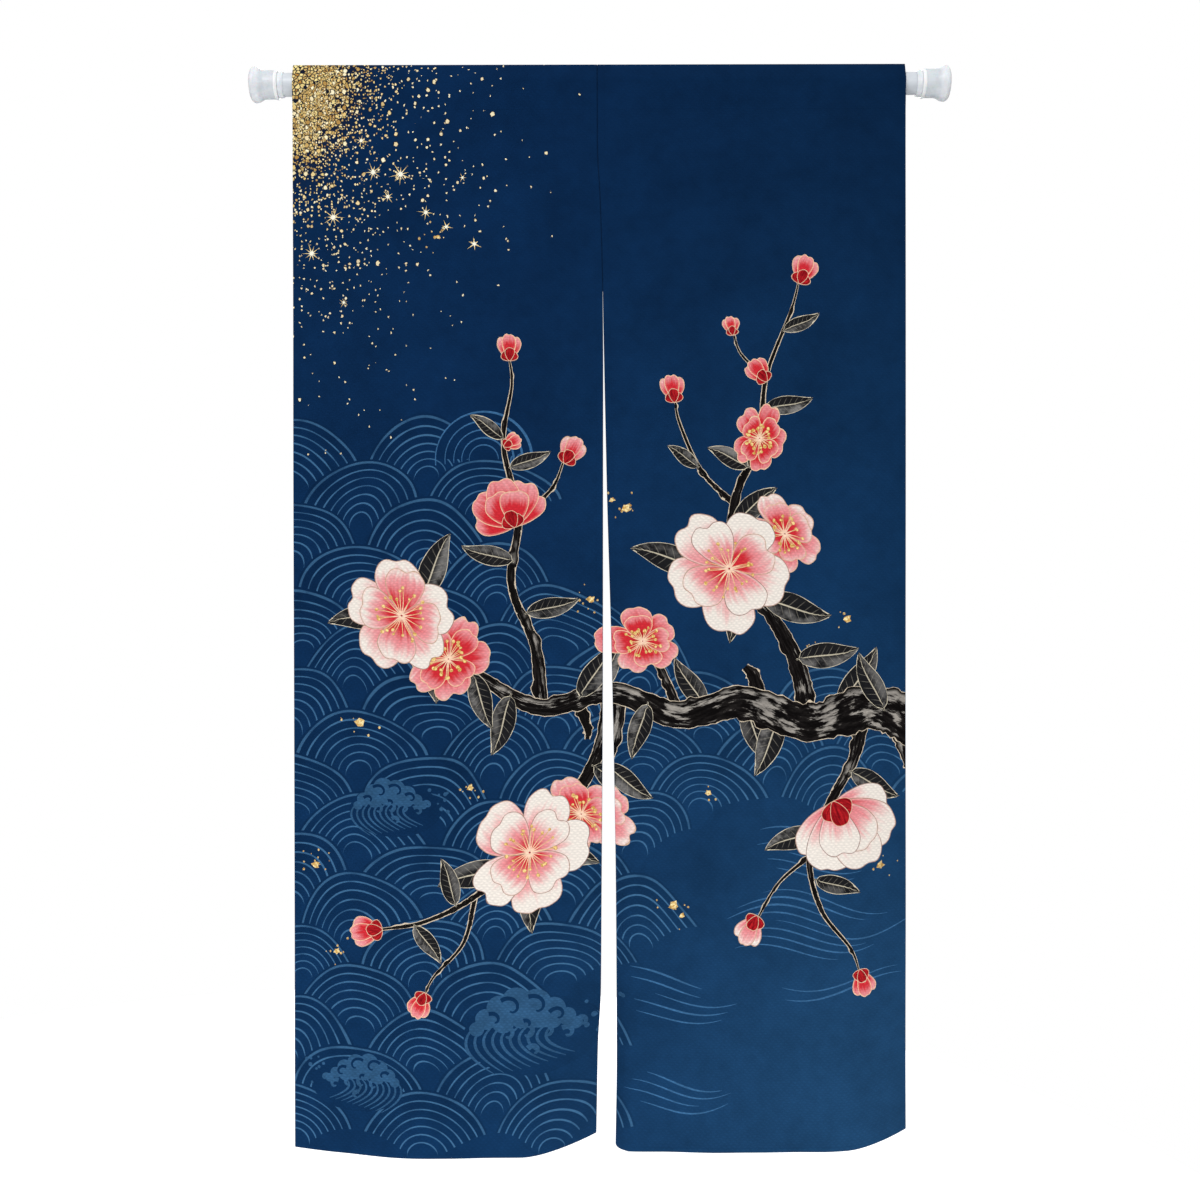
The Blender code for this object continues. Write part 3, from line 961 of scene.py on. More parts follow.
def row_drops(last):
    """Drops of the cloth's rows: those of the pocket, then even ones, finer at the hem."""
    count = round((last - POCKET_DROP) / ROW_STEP)
    hanging = [POCKET_DROP + (last - POCKET_DROP) * i / count for i in range(1, count + 1)]
    return sorted([float(d) for d in PATH[:, 0]] + hanging + [last - step for step in EDGE_STEPS])


def bake_place(part, across, down, side, wrong):
    """Where corners of one kind of part lie on the bake map."""
    u = (across - PANEL_START[side]) / PANEL_WIDTH
    v = 1 - (down - PATH_START) / (DROPS[side] - PATH_START)
    *sides, bottom, height = BAKE_MAP[part]
    left, width = sides[2:] if wrong else sides[:2]
    if part == "hem":
        left = left + SECOND_HEM * (u >= 0.5)
        u = np.clip(np.minimum(np.abs(u), np.abs(u - 1)) * PANEL_WIDTH / (HEM_WIDTH + 3), 0, 1)
    elif part == "bottom_hem":
        u, v = np.clip((down - DROPS[side]) / (BOTTOM_HEM_WIDTH + 4), 0, 1), u
    return np.column_stack([left + width * u, bottom + height * v])


def sew_panel(side, motifs, dyes, wrong_side):
    """Makes one panel: its printed face, side hems, bottom hem and pocket, as one closed sheet."""
    left = PANEL_START[side]
    low = np.array((left + SIDE_INSET, PATH_START))
    high = np.array((left + PANEL_WIDTH - SIDE_INSET, DROPS[side]))
    rows = row_drops(float(high[1]))
    reaches = [(m, m.outline.min(0), m.outline.max(0)) for m in motifs]
    mine = [m for m, least, most in reaches if (most > (low[0], 0)).all() and (least < high).all()]
    flat, triangles = cut_along_print(low, high, rows, mine)
    printed = print_on(flat, triangles, mine, {name: i for i, name in enumerate(dyes)})

    sheet = Sheet()
    sheet.add(flat, 0.0, (0.0, -1.0, 0.0), flat)
    sheet.faces = [tuple(t) for t in triangles[:, ::-1]]
    sheet.parts = ["main"] * len(triangles)
    for value, axis, outward, gap, width in (
        (low[0], 0, -1, HEM_GAP, HEM_WIDTH),
        (high[0], 0, 1, HEM_GAP, HEM_WIDTH),
        (high[1], 1, 1, BOTTOM_HEM_GAP, BOTTOM_HEM_WIDTH),
    ):
        edge = np.flatnonzero(np.abs(flat[:, axis] - value) < 1e-3)
        edge = edge[np.argsort(flat[edge, 1 - axis])]
        turned_hem(sheet, [int(i) for i in edge], gap, width, outward, axis)
    if side == "left":
        seam_tape(sheet, rows)
    return finish_sheet(side, sheet, printed, dyes, wrong_side)


def finish_sheet(side, sheet, printed, dyes, wrong_side):
    """Hangs the flat sheet, gives it its thickness and stores its print at the corners."""
    across, down, depth = (np.array(v, float) for v in (sheet.across, sheet.down, sheet.depth))
    facing, flat = np.array(sheet.facing), np.array(sheet.flat)
    axes = hung_axes(side, across, down)
    middle = hung_place(side, across, down) + axes[1] * depth[:, None]
    outward = unit_vectors(sum(axes[i] * facing[:, i : i + 1] for i in range(3)))
    right_side, wrong = middle + outward * CLOTH / 2, middle - outward * CLOTH / 2

    faces = []
    for face in sheet.faces:  # each is turned the way its right side faces
        a, b, c = (middle[i] for i in face[:3])
        agrees = np.cross(b - a, c - a) @ outward[list(face)].sum(0)
        faces.append(tuple(int(i) for i in (face if agrees >= 0 else face[::-1])))
    count = len(middle)
    backs = [tuple(i + count for i in face[::-1]) for face in faces]
    sides = {edge for face in faces for edge in zip(face, face[1:] + face[:1])}
    rims = [(j, i, i + count, j + count) for i, j in sorted(sides) if (j, i) not in sides]

    mesh = bpy.data.meshes.new("panel_" + side)
    mesh.from_pydata((np.vstack([right_side, wrong]) / 1000).tolist(), [], faces + backs + rims)
    for dye in (*dyes.values(), wrong_side):
        mesh.materials.append(dye)
    slots = printed[0]
    ground = list(dyes).index("ground")
    indices = [*slots.tolist(), *[ground] * (len(faces) - len(slots))]
    indices += [len(dyes)] * len(backs) + [ground] * len(rims)
    mesh.polygons.foreach_set("material_index", indices)

    corner_vertex = np.zeros(len(mesh.loops), np.int32)
    mesh.loops.foreach_get("vertex_index", corner_vertex)
    corner_flat = np.vstack([flat, flat])[corner_vertex]
    cloth_map = mesh.uv_layers.new(name="ClothFlat")
    cloth_map.data.foreach_set("uv", (corner_flat / 1000).astype(np.float32).ravel())
    store_print(mesh, faces, printed, list(dyes))
    parts = sheet.parts + sheet.parts + ["rim"] * len(rims)
    corner_part = np.repeat(parts, [len(f) for f in faces + backs + rims])
    is_wrong = np.arange(len(corner_part)) >= sum(len(f) for f in faces)
    places = np.zeros((len(corner_part), 2), np.float32)
    for part in BAKE_MAP:
        for wrong_face in (False, True):
            pick = (corner_part == part) & (is_wrong == wrong_face)
            if pick.any():
                places[pick] = bake_place(part, *corner_flat[pick].T, side, wrong_face)
    mesh.uv_layers.new(name="OFBake").data.foreach_set("uv", places.ravel())
    mesh.uv_layers.active = mesh.uv_layers["ClothFlat"]
    mesh.uv_layers["ClothFlat"].active_render = True
    mesh.validate()
    mesh.shade_smooth()
    mesh.set_sharp_from_angle(angle=SHARP_ANGLE)
    obj = bpy.data.objects.new("cloth_" + side, mesh)
    bpy.context.scene.collection.objects.link(obj)
    return obj


def store_print(mesh, faces, printed, dye_names):
    """Writes each printed corner's place, tone and ink, on both sides of the cloth."""
    slots, place, own = printed
    total, front, one_side = len(mesh.loops), 3 * len(slots), sum(len(f) for f in faces)
    inks = np.repeat(np.array([INKS[name] for name in dye_names])[slots][:, None], 3, axis=1)
    for name, kind, values, blank, field in (
        ("print_place", "FLOAT_VECTOR", place, (0, 0, FAR_FROM_EDGE), "vector"),
        ("print_tone", "FLOAT_VECTOR", own, (0, 0, 0), "vector"),
        ("print_ink", "FLOAT_COLOR", inks, (0, 0, 0, 0), "color"),
    ):
        data = np.tile(np.array(blank, np.float32), (total, 1))
        # the faces were turned over, so the right side's corners run the other way
        data[:front] = values[:, ::-1].reshape(front, -1)
        data[one_side : one_side + front] = values.reshape(front, -1)
        attribute = mesh.attributes.new(name, kind, "CORNER")
        attribute.data.foreach_set(field, data.ravel())


# ---------------------------------------------------------------- laying out materials


def rgb(red, green, blue):
    """A colour given in everyday 0 to 255 steps, as the linear one that shaders mix."""
    return tuple(
        c / 12.92 if c <= 0.04045 else ((c + 0.055) / 1.055) ** 2.4
        for c in (red / 255, green / 255, blue / 255)
    )


def reckons(operation, swapped=False):
    """A method of Wire that puts it, and another value if there is one, into a sum."""

    def method(self, *other):
        values = (self, *other)
        return self.bench.math(operation, *(values[::-1] if swapped else values))

    return method


class Wire:
    """A value in a node tree, which can be reckoned with like a number."""

    def __init__(self, bench, socket):
        self.bench, self.socket = bench, socket

    __add__ = __radd__ = reckons("ADD")
    __mul__ = __rmul__ = reckons("MULTIPLY")
    __sub__, __rsub__ = reckons("SUBTRACT"), reckons("SUBTRACT", swapped=True)
    __gt__, __lt__ = reckons("GREATER_THAN"), reckons("LESS_THAN")
    __truediv__, __abs__, floor = reckons("DIVIDE"), reckons("ABSOLUTE"), reckons("FLOOR")

    def slope(self, low, high, to_low, to_high, **settings):
        """A straight run from to_low at low to to_high at high, and level beyond them."""
        inputs = dict(enumerate((self, low, high, to_low, to_high)))
        return self.bench.take("ShaderNodeMapRange", 0, inputs, **settings)

    def ramp(self, low, high, to_low=0.0, to_high=1.0):
        """A smooth step from low to high; low may be the larger."""
        return self.slope(low, high, to_low, to_high, interpolation_type="SMOOTHSTEP")

    def choose(self, chosen, otherwise):
        """chosen where this is 1, and otherwise where it is 0."""
        return (self.bench.wire(chosen) - otherwise) * self + otherwise


# Where a point of the cloth lies, in millimetres across and down it when flat, and what is stored
# of the shape printed there: along, across and the distance to its edge, its tone and its seed
Here = namedtuple("Here", "x y along across edge tone seed")


class Bench:
    """Lays out the nodes of a new material, or of the world, up to its shader."""

    def __init__(self, owner, shader="Principled BSDF"):
        self.owner = owner
        self.owner.use_nodes = True
        self.tree = self.owner.node_tree
        self.shader = self.tree.nodes[shader]

    def feed(self, node, key, value):
        if isinstance(value, Wire):
            self.tree.links.new(value.socket, node.inputs[key])
        else:
            node.inputs[key].default_value = value

    def outputs(self, kind, inputs=(), **settings):
        """A new node, as what comes out of it."""
        node = self.tree.nodes.new(kind)
        for key, value in settings.items():
            setattr(node, key, value)
        for key, value in dict(inputs).items():
            self.feed(node, key, value)
        return node.outputs

    def take(self, kind, output, inputs=(), **settings):
        return Wire(self, self.outputs(kind, inputs, **settings)[output])

    def math(self, operation, *values):
        return self.take("ShaderNodeMath", 0, dict(enumerate(values)), operation=operation)

    def wire(self, value):
        """A plain number as a wire."""
        return value if isinstance(value, Wire) else self.math("ADD", value, 0.0)

    def blend(self, factor, first, second):
        first, second = (c if isinstance(c, Wire) else (*c, 1.0) for c in (first, second))
        inputs = {0: factor, 6: first, 7: second}
        return self.take("ShaderNodeMix", 2, inputs, data_type="RGBA")

    def layers(self, colour, *coats):
        """A colour under one coat after another, each of them (cover, colour)."""
        for cover, coat in coats:
            colour = self.blend(cover, colour, coat)
        return colour

    def shade(self, colour, amount):
        """The colour times an amount."""
        inputs = {0: colour, "Scale": amount}
        return self.take("ShaderNodeVectorMath", 0, inputs, operation="SCALE")

    def join(self, x, y, z=0.0):
        return self.take("ShaderNodeCombineXYZ", 0, {0: x, 1: y, 2: z})

    def split(self, vector):
        return [Wire(self, o) for o in self.outputs("ShaderNodeSeparateXYZ", {0: vector})]

    def noise(self, vector, scale, detail=2.0, roughness=0.5):
        inputs = {"Vector": vector, "Scale": scale, "Detail": detail, "Roughness": roughness}
        return self.take("ShaderNodeTexNoise", "Fac", inputs)

    def own_noise(self, here, shrink, *noise):
        """Noise over the cloth that differs from one printed shape to the next."""
        return self.noise(self.join(here.x * shrink, here.y * shrink, here.seed), *noise)

    def swayed(self, value, amount, *noise):
        """The value with noise about it, half the amount each way at most."""
        return value + (self.noise(*noise) - 0.5) * amount

    def cells(self, place, feature="F1"):
        """Cells scattered one apart over a plane, by the names of what can be read of them."""
        inputs = {"Vector": place, "Scale": 1.0}
        settings = {"voronoi_dimensions": "2D", "feature": feature}
        outputs = self.outputs("ShaderNodeTexVoronoi", inputs, **settings)
        return {output.name: Wire(self, output) for output in outputs}

    def bump(self, strength, distance, height):
        inputs = {"Strength": strength, "Distance": distance, "Height": height}
        return self.take("ShaderNodeBump", 0, inputs)

    def length(self, x, y):
        return self.math("SQRT", x * x + y * y)

    def here(self):
        x, y, _ = self.split(self.take("ShaderNodeUVMap", 0, uv_map="ClothFlat"))
        wires = [x * 1000.0, y * 1000.0]
        for name in ("print_place", "print_tone"):
            wires += self.split(self.take("ShaderNodeAttribute", "Vector", attribute_name=name))
        return Here(*wires[:7])

    def finish(self, **inputs):
        for key, value in inputs.items():
            self.feed(self.shader, key.replace("_", " "), value)
        return self.owner


# ---------------------------------------------------------------- the cloth

# What of each dye shows through to the wrong side: its colour, and how strongly
INKS = {
    "ground": (0.0, 0.0, 0.0, 0.0),
    "water": (0.04, 0.10, 0.22, 0.6),
    "foam": (0.03, 0.08, 0.20, 0.7),
    "petal": (0.62, 0.42, 0.42, 0.8),
    "sepal": (0.20, 0.03, 0.04, 0.6),
    "leaf": (0.02, 0.02, 0.03, 0.7),
    "wood": (0.02, 0.02, 0.02, 0.8),
    "thread": (0.62, 0.45, 0.40, 0.8),
    "anther": (0.50, 0.36, 0.12, 0.7),
    "gold_leaf": (0.45, 0.34, 0.14, 0.7),
}
WEAVE_PITCH = 1.15  # millimetres between threads of the ground weave
SLUB_PITCH = (7.5, 7.1)  # between the thicker threads that give the linen look
SLUB_SWAY = 7.0  # how far these wander
THREAD_GRAIN = (0.22, 1.4)  # noise drawn out along the threads: its scale along and across them
# RELIEF and GROUND_RELIEF set how strongly the weave's relief is painted into the colour as light
# and shade
RELIEF = 0.105  # how strongly the weave shades the cloth
GROUND_RELIEF = (250.0, 1350.0, 0.05, 0.075)  # from drop, to drop, and its relief at each
STITCH_PITCH = 3.2
STITCH_SHARE = 0.68  # of the pitch
STITCH_HALF_WIDTH = 0.35
STITCH_INSET = 1.5  # from the hem's inner edge


def weave(bench, x, y, relief):
    """(height, tone) of a plain weave with thicker slub threads, which show by their relief. The
    tone is painted light and shade of that relief, together with the threads' own unevenness.
    """
    sway = bench.noise(bench.join(x, y), 0.09, 2.0) * SLUB_SWAY

    def wave(value, pitch, shift=0.0):
        return bench.math("SINE", value * (math.tau / pitch) + shift)

    fine = wave(x, WEAVE_PITCH) * wave(y, WEAVE_PITCH)
    slub = wave(x, SLUB_PITCH[0], sway) * wave(y, SLUB_PITCH[1], sway) * 0.75
    slub = slub + wave(y, SLUB_PITCH[1] / 2, sway * 2.0 - math.pi / 2) * 0.5
    drawn_out, close = THREAD_GRAIN
    threads = bench.noise(bench.join(x * drawn_out, y * close), 0.5)
    threads = threads + bench.noise(bench.join(x * close, y * drawn_out), 0.5)
    return slub * 0.35 + fine * 0.3 + threads, (slub + threads - 1.0) * relief + 1.0


def stitches(bench, x, y):
    """Rows of small stitches along the side hems and under the rod."""
    from_side = bench.math("PINGPONG", x, PANEL_WIDTH / 2)
    by_side = abs(from_side - (HEM_WIDTH - STITCH_INSET)) < STITCH_HALF_WIDTH
    under_rod = abs(y - POCKET_DROP) < STITCH_HALF_WIDTH
    dash = bench.math("FRACT", under_rod.choose(x, y) / STITCH_PITCH) < STITCH_SHARE
    return bench.math("MAXIMUM", by_side, under_rod) * dash


def printed_cloth(name, recipe, *colours, relief=RELIEF):
    """Woven, stitched, matt cloth with the colour that a recipe makes of the given ones."""
    bench = Bench(bpy.data.materials.new(name))
    here = bench.here()
    if isinstance(relief, tuple):
        relief = here.y.ramp(*relief)
    height, tone = weave(bench, here.x, here.y, relief)
    sewn = stitches(bench, here.x, here.y)
    return bench.finish(
        # the weave's tone paints light and shade of its relief into the colour
        Base_Color=bench.shade(recipe(bench, here, *colours), tone * (1.0 - sewn * 0.1)),
        Normal=bench.bump(0.35, 0.00025, height - sewn * 1.5),
        Roughness=0.92,
        Specular_IOR_Level=0.03,
    )


# ---------------------------------------------------------------- the ground, its sea and its gold

INDIGO = (
    # at the left and at the right: of the top, of the middle and of the bottom
    (rgb(8, 38, 74), rgb(8, 36, 68)),
    (rgb(11, 42, 78), rgb(16, 50, 86)),
    (rgb(13, 46, 82), rgb(28, 65, 101)),
)
RIGHTWARD, DOWN_TO_MIDDLE, DOWN_TO_BOTTOM = (150.0, 850.0), (0.0, 760.0), (640.0, 1450.0)
# SEAM_SHADE is painted shade along the centre seam, where the two panels are sewn together
SEAM_SHADE = (1.8, 0.4, 0.12)  # no shade this far from the seam, full shade this near, and how much

SCALE_RADIUS = 92.0  # of one seigaiha scale
SCALE_ROW = 58.0  # between its rows
SCALE_RINGS = 8.0
SCALE_RAGGED = 110.0  # how unevenly the sea begins and ends
SHORE = (150.0, 560.0, 535.0, 905.0)  # from across, to across: the drops where the sea begins
CALM = (415.0, 530.0, 1510.0, 1090.0)  # the same of where it ends, and how much higher far right
FAR_CALM = (575.0, 900.0, 0.0, 30.0)

GOLD_REACH = (71.0, 114.0)  # how far the solid gold reaches from the corner, across and down
FLAKE_PITCH = 5.0
GRAIN_STRETCH = 1.14  # down the cloth
GOLD_GRAINS = (
    # pitch, seed, how many, smallest and largest radius as shares of the pitch
    (3.0, 0.0, 1.30, 0.20, 0.45),
    (5.2, 20.0, 0.85, 0.16, 0.38),
    (9.0, 40.0, 0.60, 0.17, 0.32),
)


def indigo(bench, x, y):
    """The mottled indigo ground, darkest at the top and lighter towards the bottom right, with
    painted shade along the centre seam down to where the panels part.
    """
    rightward = x.ramp(*RIGHTWARD)
    top, middle, bottom = (bench.blend(rightward, *pair) for pair in INDIGO)
    down_to = (y.ramp(*DOWN_TO_MIDDLE), middle), (y.ramp(*DOWN_TO_BOTTOM), bottom)
    clouds = bench.noise(bench.join(x, y), 0.0075, 5.0, 0.62)
    fine = bench.noise(bench.join(x, y, 7.0), 0.05, 4.0, 0.6)
    far, near, depth = SEAM_SHADE
    # painted shade along the centre seam, above where the panels part
    seam = abs(x - PANEL_WIDTH).ramp(far, near) * (y < SEAM_END) * depth
    return bench.shade(
        bench.layers(top, *down_to), (clouds * 0.8 + fine * 0.4 + 0.4) * (1.0 - seam)
    )


def nearest_scale(bench, px, py):
    """(distance, x, y) of the middle of the scale that lies on top, each lower row over the one
    above."""
    lowest = ((py + SCALE_RADIUS) / SCALE_ROW).floor()
    found = None
    for step in (3.0, 2.0, 1.0, 0.0):
        row = lowest - step
        y = row * SCALE_ROW
        odd = bench.math("FLOORED_MODULO", row, 2.0) * SCALE_RADIUS
        x = bench.math("ROUND", (px - odd) / (2 * SCALE_RADIUS)) * (2 * SCALE_RADIUS) + odd
        scale = bench.length(px - x, py - y), x, y
        if found:
            covers = scale[0] < SCALE_RADIUS
            scale = tuple(covers.choose(*pair) for pair in zip(scale, found))
        found = scale
    return found


def sea_scales(bench, x, y):
    """(line, shading) of the brushed seigaiha scales."""
    px = bench.swayed(x, 52.0, bench.join(x, y, 3.0), 0.0068, 0.0)
    py = bench.swayed(y, 40.0, bench.join(x, y, 11.0), 0.0072, 0.0)
    distance, centre_x, centre_y = nearest_scale(bench, px, py)
    own = bench.noise(bench.join(centre_x, centre_y), 0.031, 0.0)
    ragged = (own - 0.5) * SCALE_RAGGED
    calm = centre_x.slope(*CALM) - centre_x.slope(*FAR_CALM) + ragged
    present = (centre_y > centre_x.slope(*SHORE) + ragged) * (centre_y < calm)

    rings = distance * (SCALE_RINGS / SCALE_RADIUS)
    ring = rings.floor()
    off_line = abs(rings - ring - 0.6)
    brush = bench.noise(bench.join(x, y, ring * 5.0), 0.03)
    swing = bench.math("ARCTAN2", abs(px - centre_x), centre_y - py)
    to_end = ring * 0.09 + own * 0.9 + brush * 0.9 + 0.6 - swing
    rim = ring > SCALE_RINGS - 1.5
    half = (brush * 0.11 + 0.03 + rim * 0.05) * to_end.ramp(0.0, 0.75, 0.1, 1.0)
    line = (off_line / half).ramp(1.25, 0.7) * (ring > 0.5) * (to_end > 0.0)
    strength = brush.ramp(0.3, 0.55, 0.6, 1.0) * (1.0 - rim * 0.25)
    hollow = distance.ramp(0.2 * SCALE_RADIUS, SCALE_RADIUS, 1.05, 0.88)
    return line * strength * present, present.choose(hollow, 1.0)


def gold_dust(bench, x, y):
    """(cover, colour) of the gold dust that is thickest in the top left corner."""
    reach = bench.length(x / GOLD_REACH[0], y / GOLD_REACH[1])
    reach = bench.swayed(reach, 1.1, bench.join(x, y, 5.0), 0.022, 3.0, 0.6)
    x = bench.swayed(x, 3.0, bench.join(x, y, 3.0), 0.5, 1.0)
    y = bench.swayed(y, 3.0, bench.join(x, y, 8.0), 0.5, 1.0)

    flakes = bench.join(x / FLAKE_PITCH, y / FLAKE_PITCH)
    chance, _, tint = bench.split(bench.cells(flakes)["Color"])
    apart = bench.cells(flakes, "DISTANCE_TO_EDGE")["Distance"].ramp(0.07, 0.19)
    gilded = (chance < reach.ramp(1.5, 0.6, 0.0, 0.94)) * apart
    flake = bench.blend(tint, rgb(178, 132, 62), rgb(253, 234, 160))
    colour = bench.blend(gilded, rgb(26, 26, 36), flake)
    cover = bench.math("MAXIMUM", gilded, reach.ramp(1.75, 0.8, 0.0, 0.85))

    share = bench.math("EXPONENT", (reach - 0.85) * -1.6) * reach.ramp(0.35, 0.8, 0.0, 0.66)
    share = share + reach.ramp(5.6, 2.0) * 0.014
    far = reach.ramp(1.3, 2.8) * 0.65
    for pitch, seed, amount, smallest, largest in GOLD_GRAINS:
        cells = bench.cells(bench.join(x / pitch + seed, y / (pitch * GRAIN_STRETCH) + seed))
        chance, size, tint = bench.split(cells["Color"])
        outside = cells["Distance"] - (size * (largest - smallest) + smallest)
        grain = outside.ramp(0.14, 0.08) * (chance < share * amount)
        gold = bench.layers(
            rgb(184, 144, 80),
            (tint.ramp(0.0, 0.45), rgb(232, 202, 132)),
            (tint.ramp(0.45, 1.0), rgb(252, 242, 206)),
            (far, rgb(246, 236, 204)),
            (outside.ramp(-0.03, 0.03), rgb(26, 26, 32)),
        )
        colour = bench.blend(grain, colour, gold)
        cover = bench.math("MAXIMUM", cover, grain)
    return cover, colour


# ---------------------------------------------------------------- recipes of the dyes


def ground_dye(bench, here, wave_line):
    """Indigo with the lines of the sea and the gold dust on it."""
    lines, shading = sea_scales(bench, here.x, here.y)
    scaled = 1.0 - here.tone
    ground = bench.shade(indigo(bench, here.x, here.y), scaled.choose(shading, 0.94))
    dust = gold_dust(bench, here.x, here.y)
    return bench.layers(ground, (lines * scaled * 0.78, wave_line), dust)


def water_dye(bench, here, blue):
    """Paler blue of the swell's strokes and of the foam."""
    wash = bench.own_noise(here, 1.0, 0.05, 3.0)
    return bench.shade(blue, wash.ramp(0.3, 0.7, 0.85, 1.12))


def petal_dye(bench, here, ivory, pink, red):
    """Washes from a deep red base through pink to an ivory rim, with a fine outline."""
    _, _, along, across, edge, tone, seed = here
    streaks = bench.noise(bench.join(across * 3.2, along * 0.9, seed), 1.6, 3.0, 0.6)
    wash = bench.own_noise(here, 0.03, 1.0, 3.0)
    depth = 1.0 - along - (streaks - 0.5) * 0.55 - (wash - 0.5) * 0.35 - abs(across) * 0.1
    depth = depth + tone * 0.66
    outline = bench.own_noise(here, 1.0, 0.09, 1.0) * 1.1 + 0.45
    return bench.layers(
        ivory,
        (depth.ramp(0.28, 0.72), pink),
        (depth.ramp(0.68, 1.08), red),
        (depth.ramp(1.2, 1.7), rgb(160, 22, 34)),
        (edge.ramp(4.2, 1.0) * 0.5, bench.blend(tone, rgb(240, 233, 226), rgb(230, 132, 126))),
        (
            (edge - outline).ramp(0.25, -0.25) * 0.85,
            bench.blend(tone, rgb(116, 72, 60), rgb(240, 206, 168)),
        ),
    )


def sepal_dye(bench, here):
    """Deep red streaks with a pale rim."""
    streaks = bench.noise(bench.join(here.across * 2.5, here.along, here.seed), 2.0)
    return bench.layers(
        rgb(120, 12, 22),
        (streaks.ramp(0.3, 0.7), rgb(186, 32, 38)),
        (here.edge.ramp(1.0, 0.5) * 0.8, rgb(240, 208, 176)),
    )


def resist_line(bench, here, widest):
    """A broken pale line round a dark shape, never wider than a quarter of a thin one."""
    width = bench.own_noise(here, 1.0, 0.07) * (widest * 1.9) - 0.35 * widest
    return (here.edge - width).ramp(0.22, -0.22) * abs(here.across).ramp(0.6, 0.76)


def leaf_dye(bench, here):
    """Ink leaves: one half black, the other a grey wash, with pale veins and rim."""
    off_rib = abs(here.across)
    wash = bench.own_noise(here, 0.04, 1.0, 4.0, 0.65)
    pale = here.across.ramp(-0.05, 0.55) * wash.ramp(0.36, 0.62) * (here.tone * 0.7 + 0.3)
    veins = abs(bench.math("FRACT", (here.along - off_rib * 0.12) * 9.0) - 0.5)
    rib = off_rib.ramp(0.075, 0.03) * 0.8
    return bench.layers(
        rgb(10, 12, 16),
        (wash, rgb(40, 40, 42)),
        (pale, rgb(128, 126, 124)),
        (veins.ramp(0.06, 0.02) * off_rib.ramp(0.9, 0.5) * 0.34, rgb(170, 164, 150)),
        (bench.math("MAXIMUM", rib, resist_line(bench, here, 1.1)), rgb(214, 204, 180)),
    )


def wood_dye(bench, here):
    """Ink bark: black with dry-brushed grey washes and a broken pale rim."""
    along_bark = bench.join(here.along * 2.2, here.across * 2.6, here.seed)
    brush, wash = bench.noise(along_bark, 1.3, 5.0, 0.7), bench.own_noise(here, 0.018, 1.0, 3.0)
    dry = (brush + (wash - 0.5) * 1.1 + here.across * 0.13).ramp(0.54, 0.64)
    return bench.layers(
        rgb(12, 10, 10),
        (brush.ramp(0.42, 0.72), rgb(38, 35, 34)),
        (
            dry * here.edge.ramp(2.0, 7.0) * 0.9,
            bench.blend(brush.ramp(0.35, 0.65), rgb(112, 108, 104), rgb(172, 166, 158)),
        ),
        (resist_line(bench, here, 1.25), rgb(216, 200, 176)),
    )


def thread_dye(bench, here):
    """Stamens, which turn golden towards their tips."""
    return bench.blend(here.along, rgb(250, 214, 190), rgb(214, 166, 90))


def gold_dye(bench, here, low, high):
    """Printed gold with a darker edge; sparks are white in their middle."""
    mottle = bench.own_noise(here, 1.0, 0.3)
    spark = here.tone > 0.99
    return bench.layers(
        low,
        (mottle.ramp(0.35, 0.65), high),
        (here.edge.ramp(0.45, 0.1, 0.0, 0.5), rgb(140, 98, 40)),
        (spark * 0.7, rgb(255, 226, 150)),
        (bench.length(here.along, here.across).ramp(0.42, 0.12) * spark, rgb(255, 252, 232)),
    )


def wrong_side_dye(bench, here, wave_line):
    """The unprinted side: duller indigo, with the print showing faintly through."""
    lines = sea_scales(bench, here.x, here.y)[0] * (1.0 - here.tone)
    ink = bench.outputs("ShaderNodeAttribute", attribute_name="print_ink")
    return bench.layers(
        indigo(bench, here.x, here.y),
        (lines * 0.3, wave_line),
        (Wire(bench, ink["Alpha"]) * 0.5, Wire(bench, ink["Color"])),
        (0.11, rgb(150, 160, 175)),
    )


def all_dyes(prints):
    """The dyes of the printed side by name, and the cloth's wrong side."""
    line = prints.wave_line
    washes = prints.petal_ivory, prints.petal_pink, prints.petal_red
    head_gold = rgb(206, 156, 76), rgb(248, 220, 150)
    leaf_gold = rgb(206, 160, 84), rgb(252, 234, 176)
    dyes = {
        "ground": printed_cloth("indigo_ground", ground_dye, line, relief=GROUND_RELIEF),
        "water": printed_cloth("water_print", water_dye, rgb(56, 100, 142), relief=0.14),
        "foam": printed_cloth("foam_print", water_dye, rgb(45, 83, 119), relief=0.14),
        "petal": printed_cloth("petal_print", petal_dye, *washes),
        "sepal": printed_cloth("scale_print", sepal_dye),
        "leaf": printed_cloth("leaf_print", leaf_dye),
        "wood": printed_cloth("wood_print", wood_dye),
        "thread": printed_cloth("stamen_print", thread_dye),
        "anther": printed_cloth("anther_print", gold_dye, *head_gold),
        "gold_leaf": printed_cloth("gold_leaf_print", gold_dye, *leaf_gold),
    }
    return dyes, printed_cloth("wrong_side", wrong_side_dye, line)


# ---------------------------------------------------------------- the rod

ROD_LENGTH = 0.9725  # in metres, from foot to foot
MOULD_MARKS = 0.0011  # between the fine marks round a foot
FOOT_BANDS = (
    # from, to in metres from the end, how softly each begins and ends, how strongly, colour
    # the lip's band is a painted highlight: a bright thin line round the foot
    (0.0345, 0.0386, 0.001, 0.001, 0.8, (252, 253, 254)),  # the bright thin lip
    (0.017, 0.0335, 0.006, 0.001, 0.7, (204, 211, 217)),  # the waist, which lets the tube through
)


def coated_steel(rod):
    """Smooth white coating with faint orange peel."""
    bench = Bench(bpy.data.materials.new("white_coated_steel"))
    place = bench.take("ShaderNodeTexCoord", "Object")
    peel, cloud = bench.noise(place, 900.0, 3.0), bench.noise(place, 35.0)
    return bench.finish(
        Base_Color=bench.shade(rod.tube_white, cloud.ramp(0.3, 0.7, 0.97, 1.02)),
        Roughness=peel.ramp(0.3, 0.7, 0.28, 0.36),
        Normal=bench.bump(0.12, 0.0001, peel),
        Coat_Weight=0.3,
        Coat_Roughness=0.15,
    )


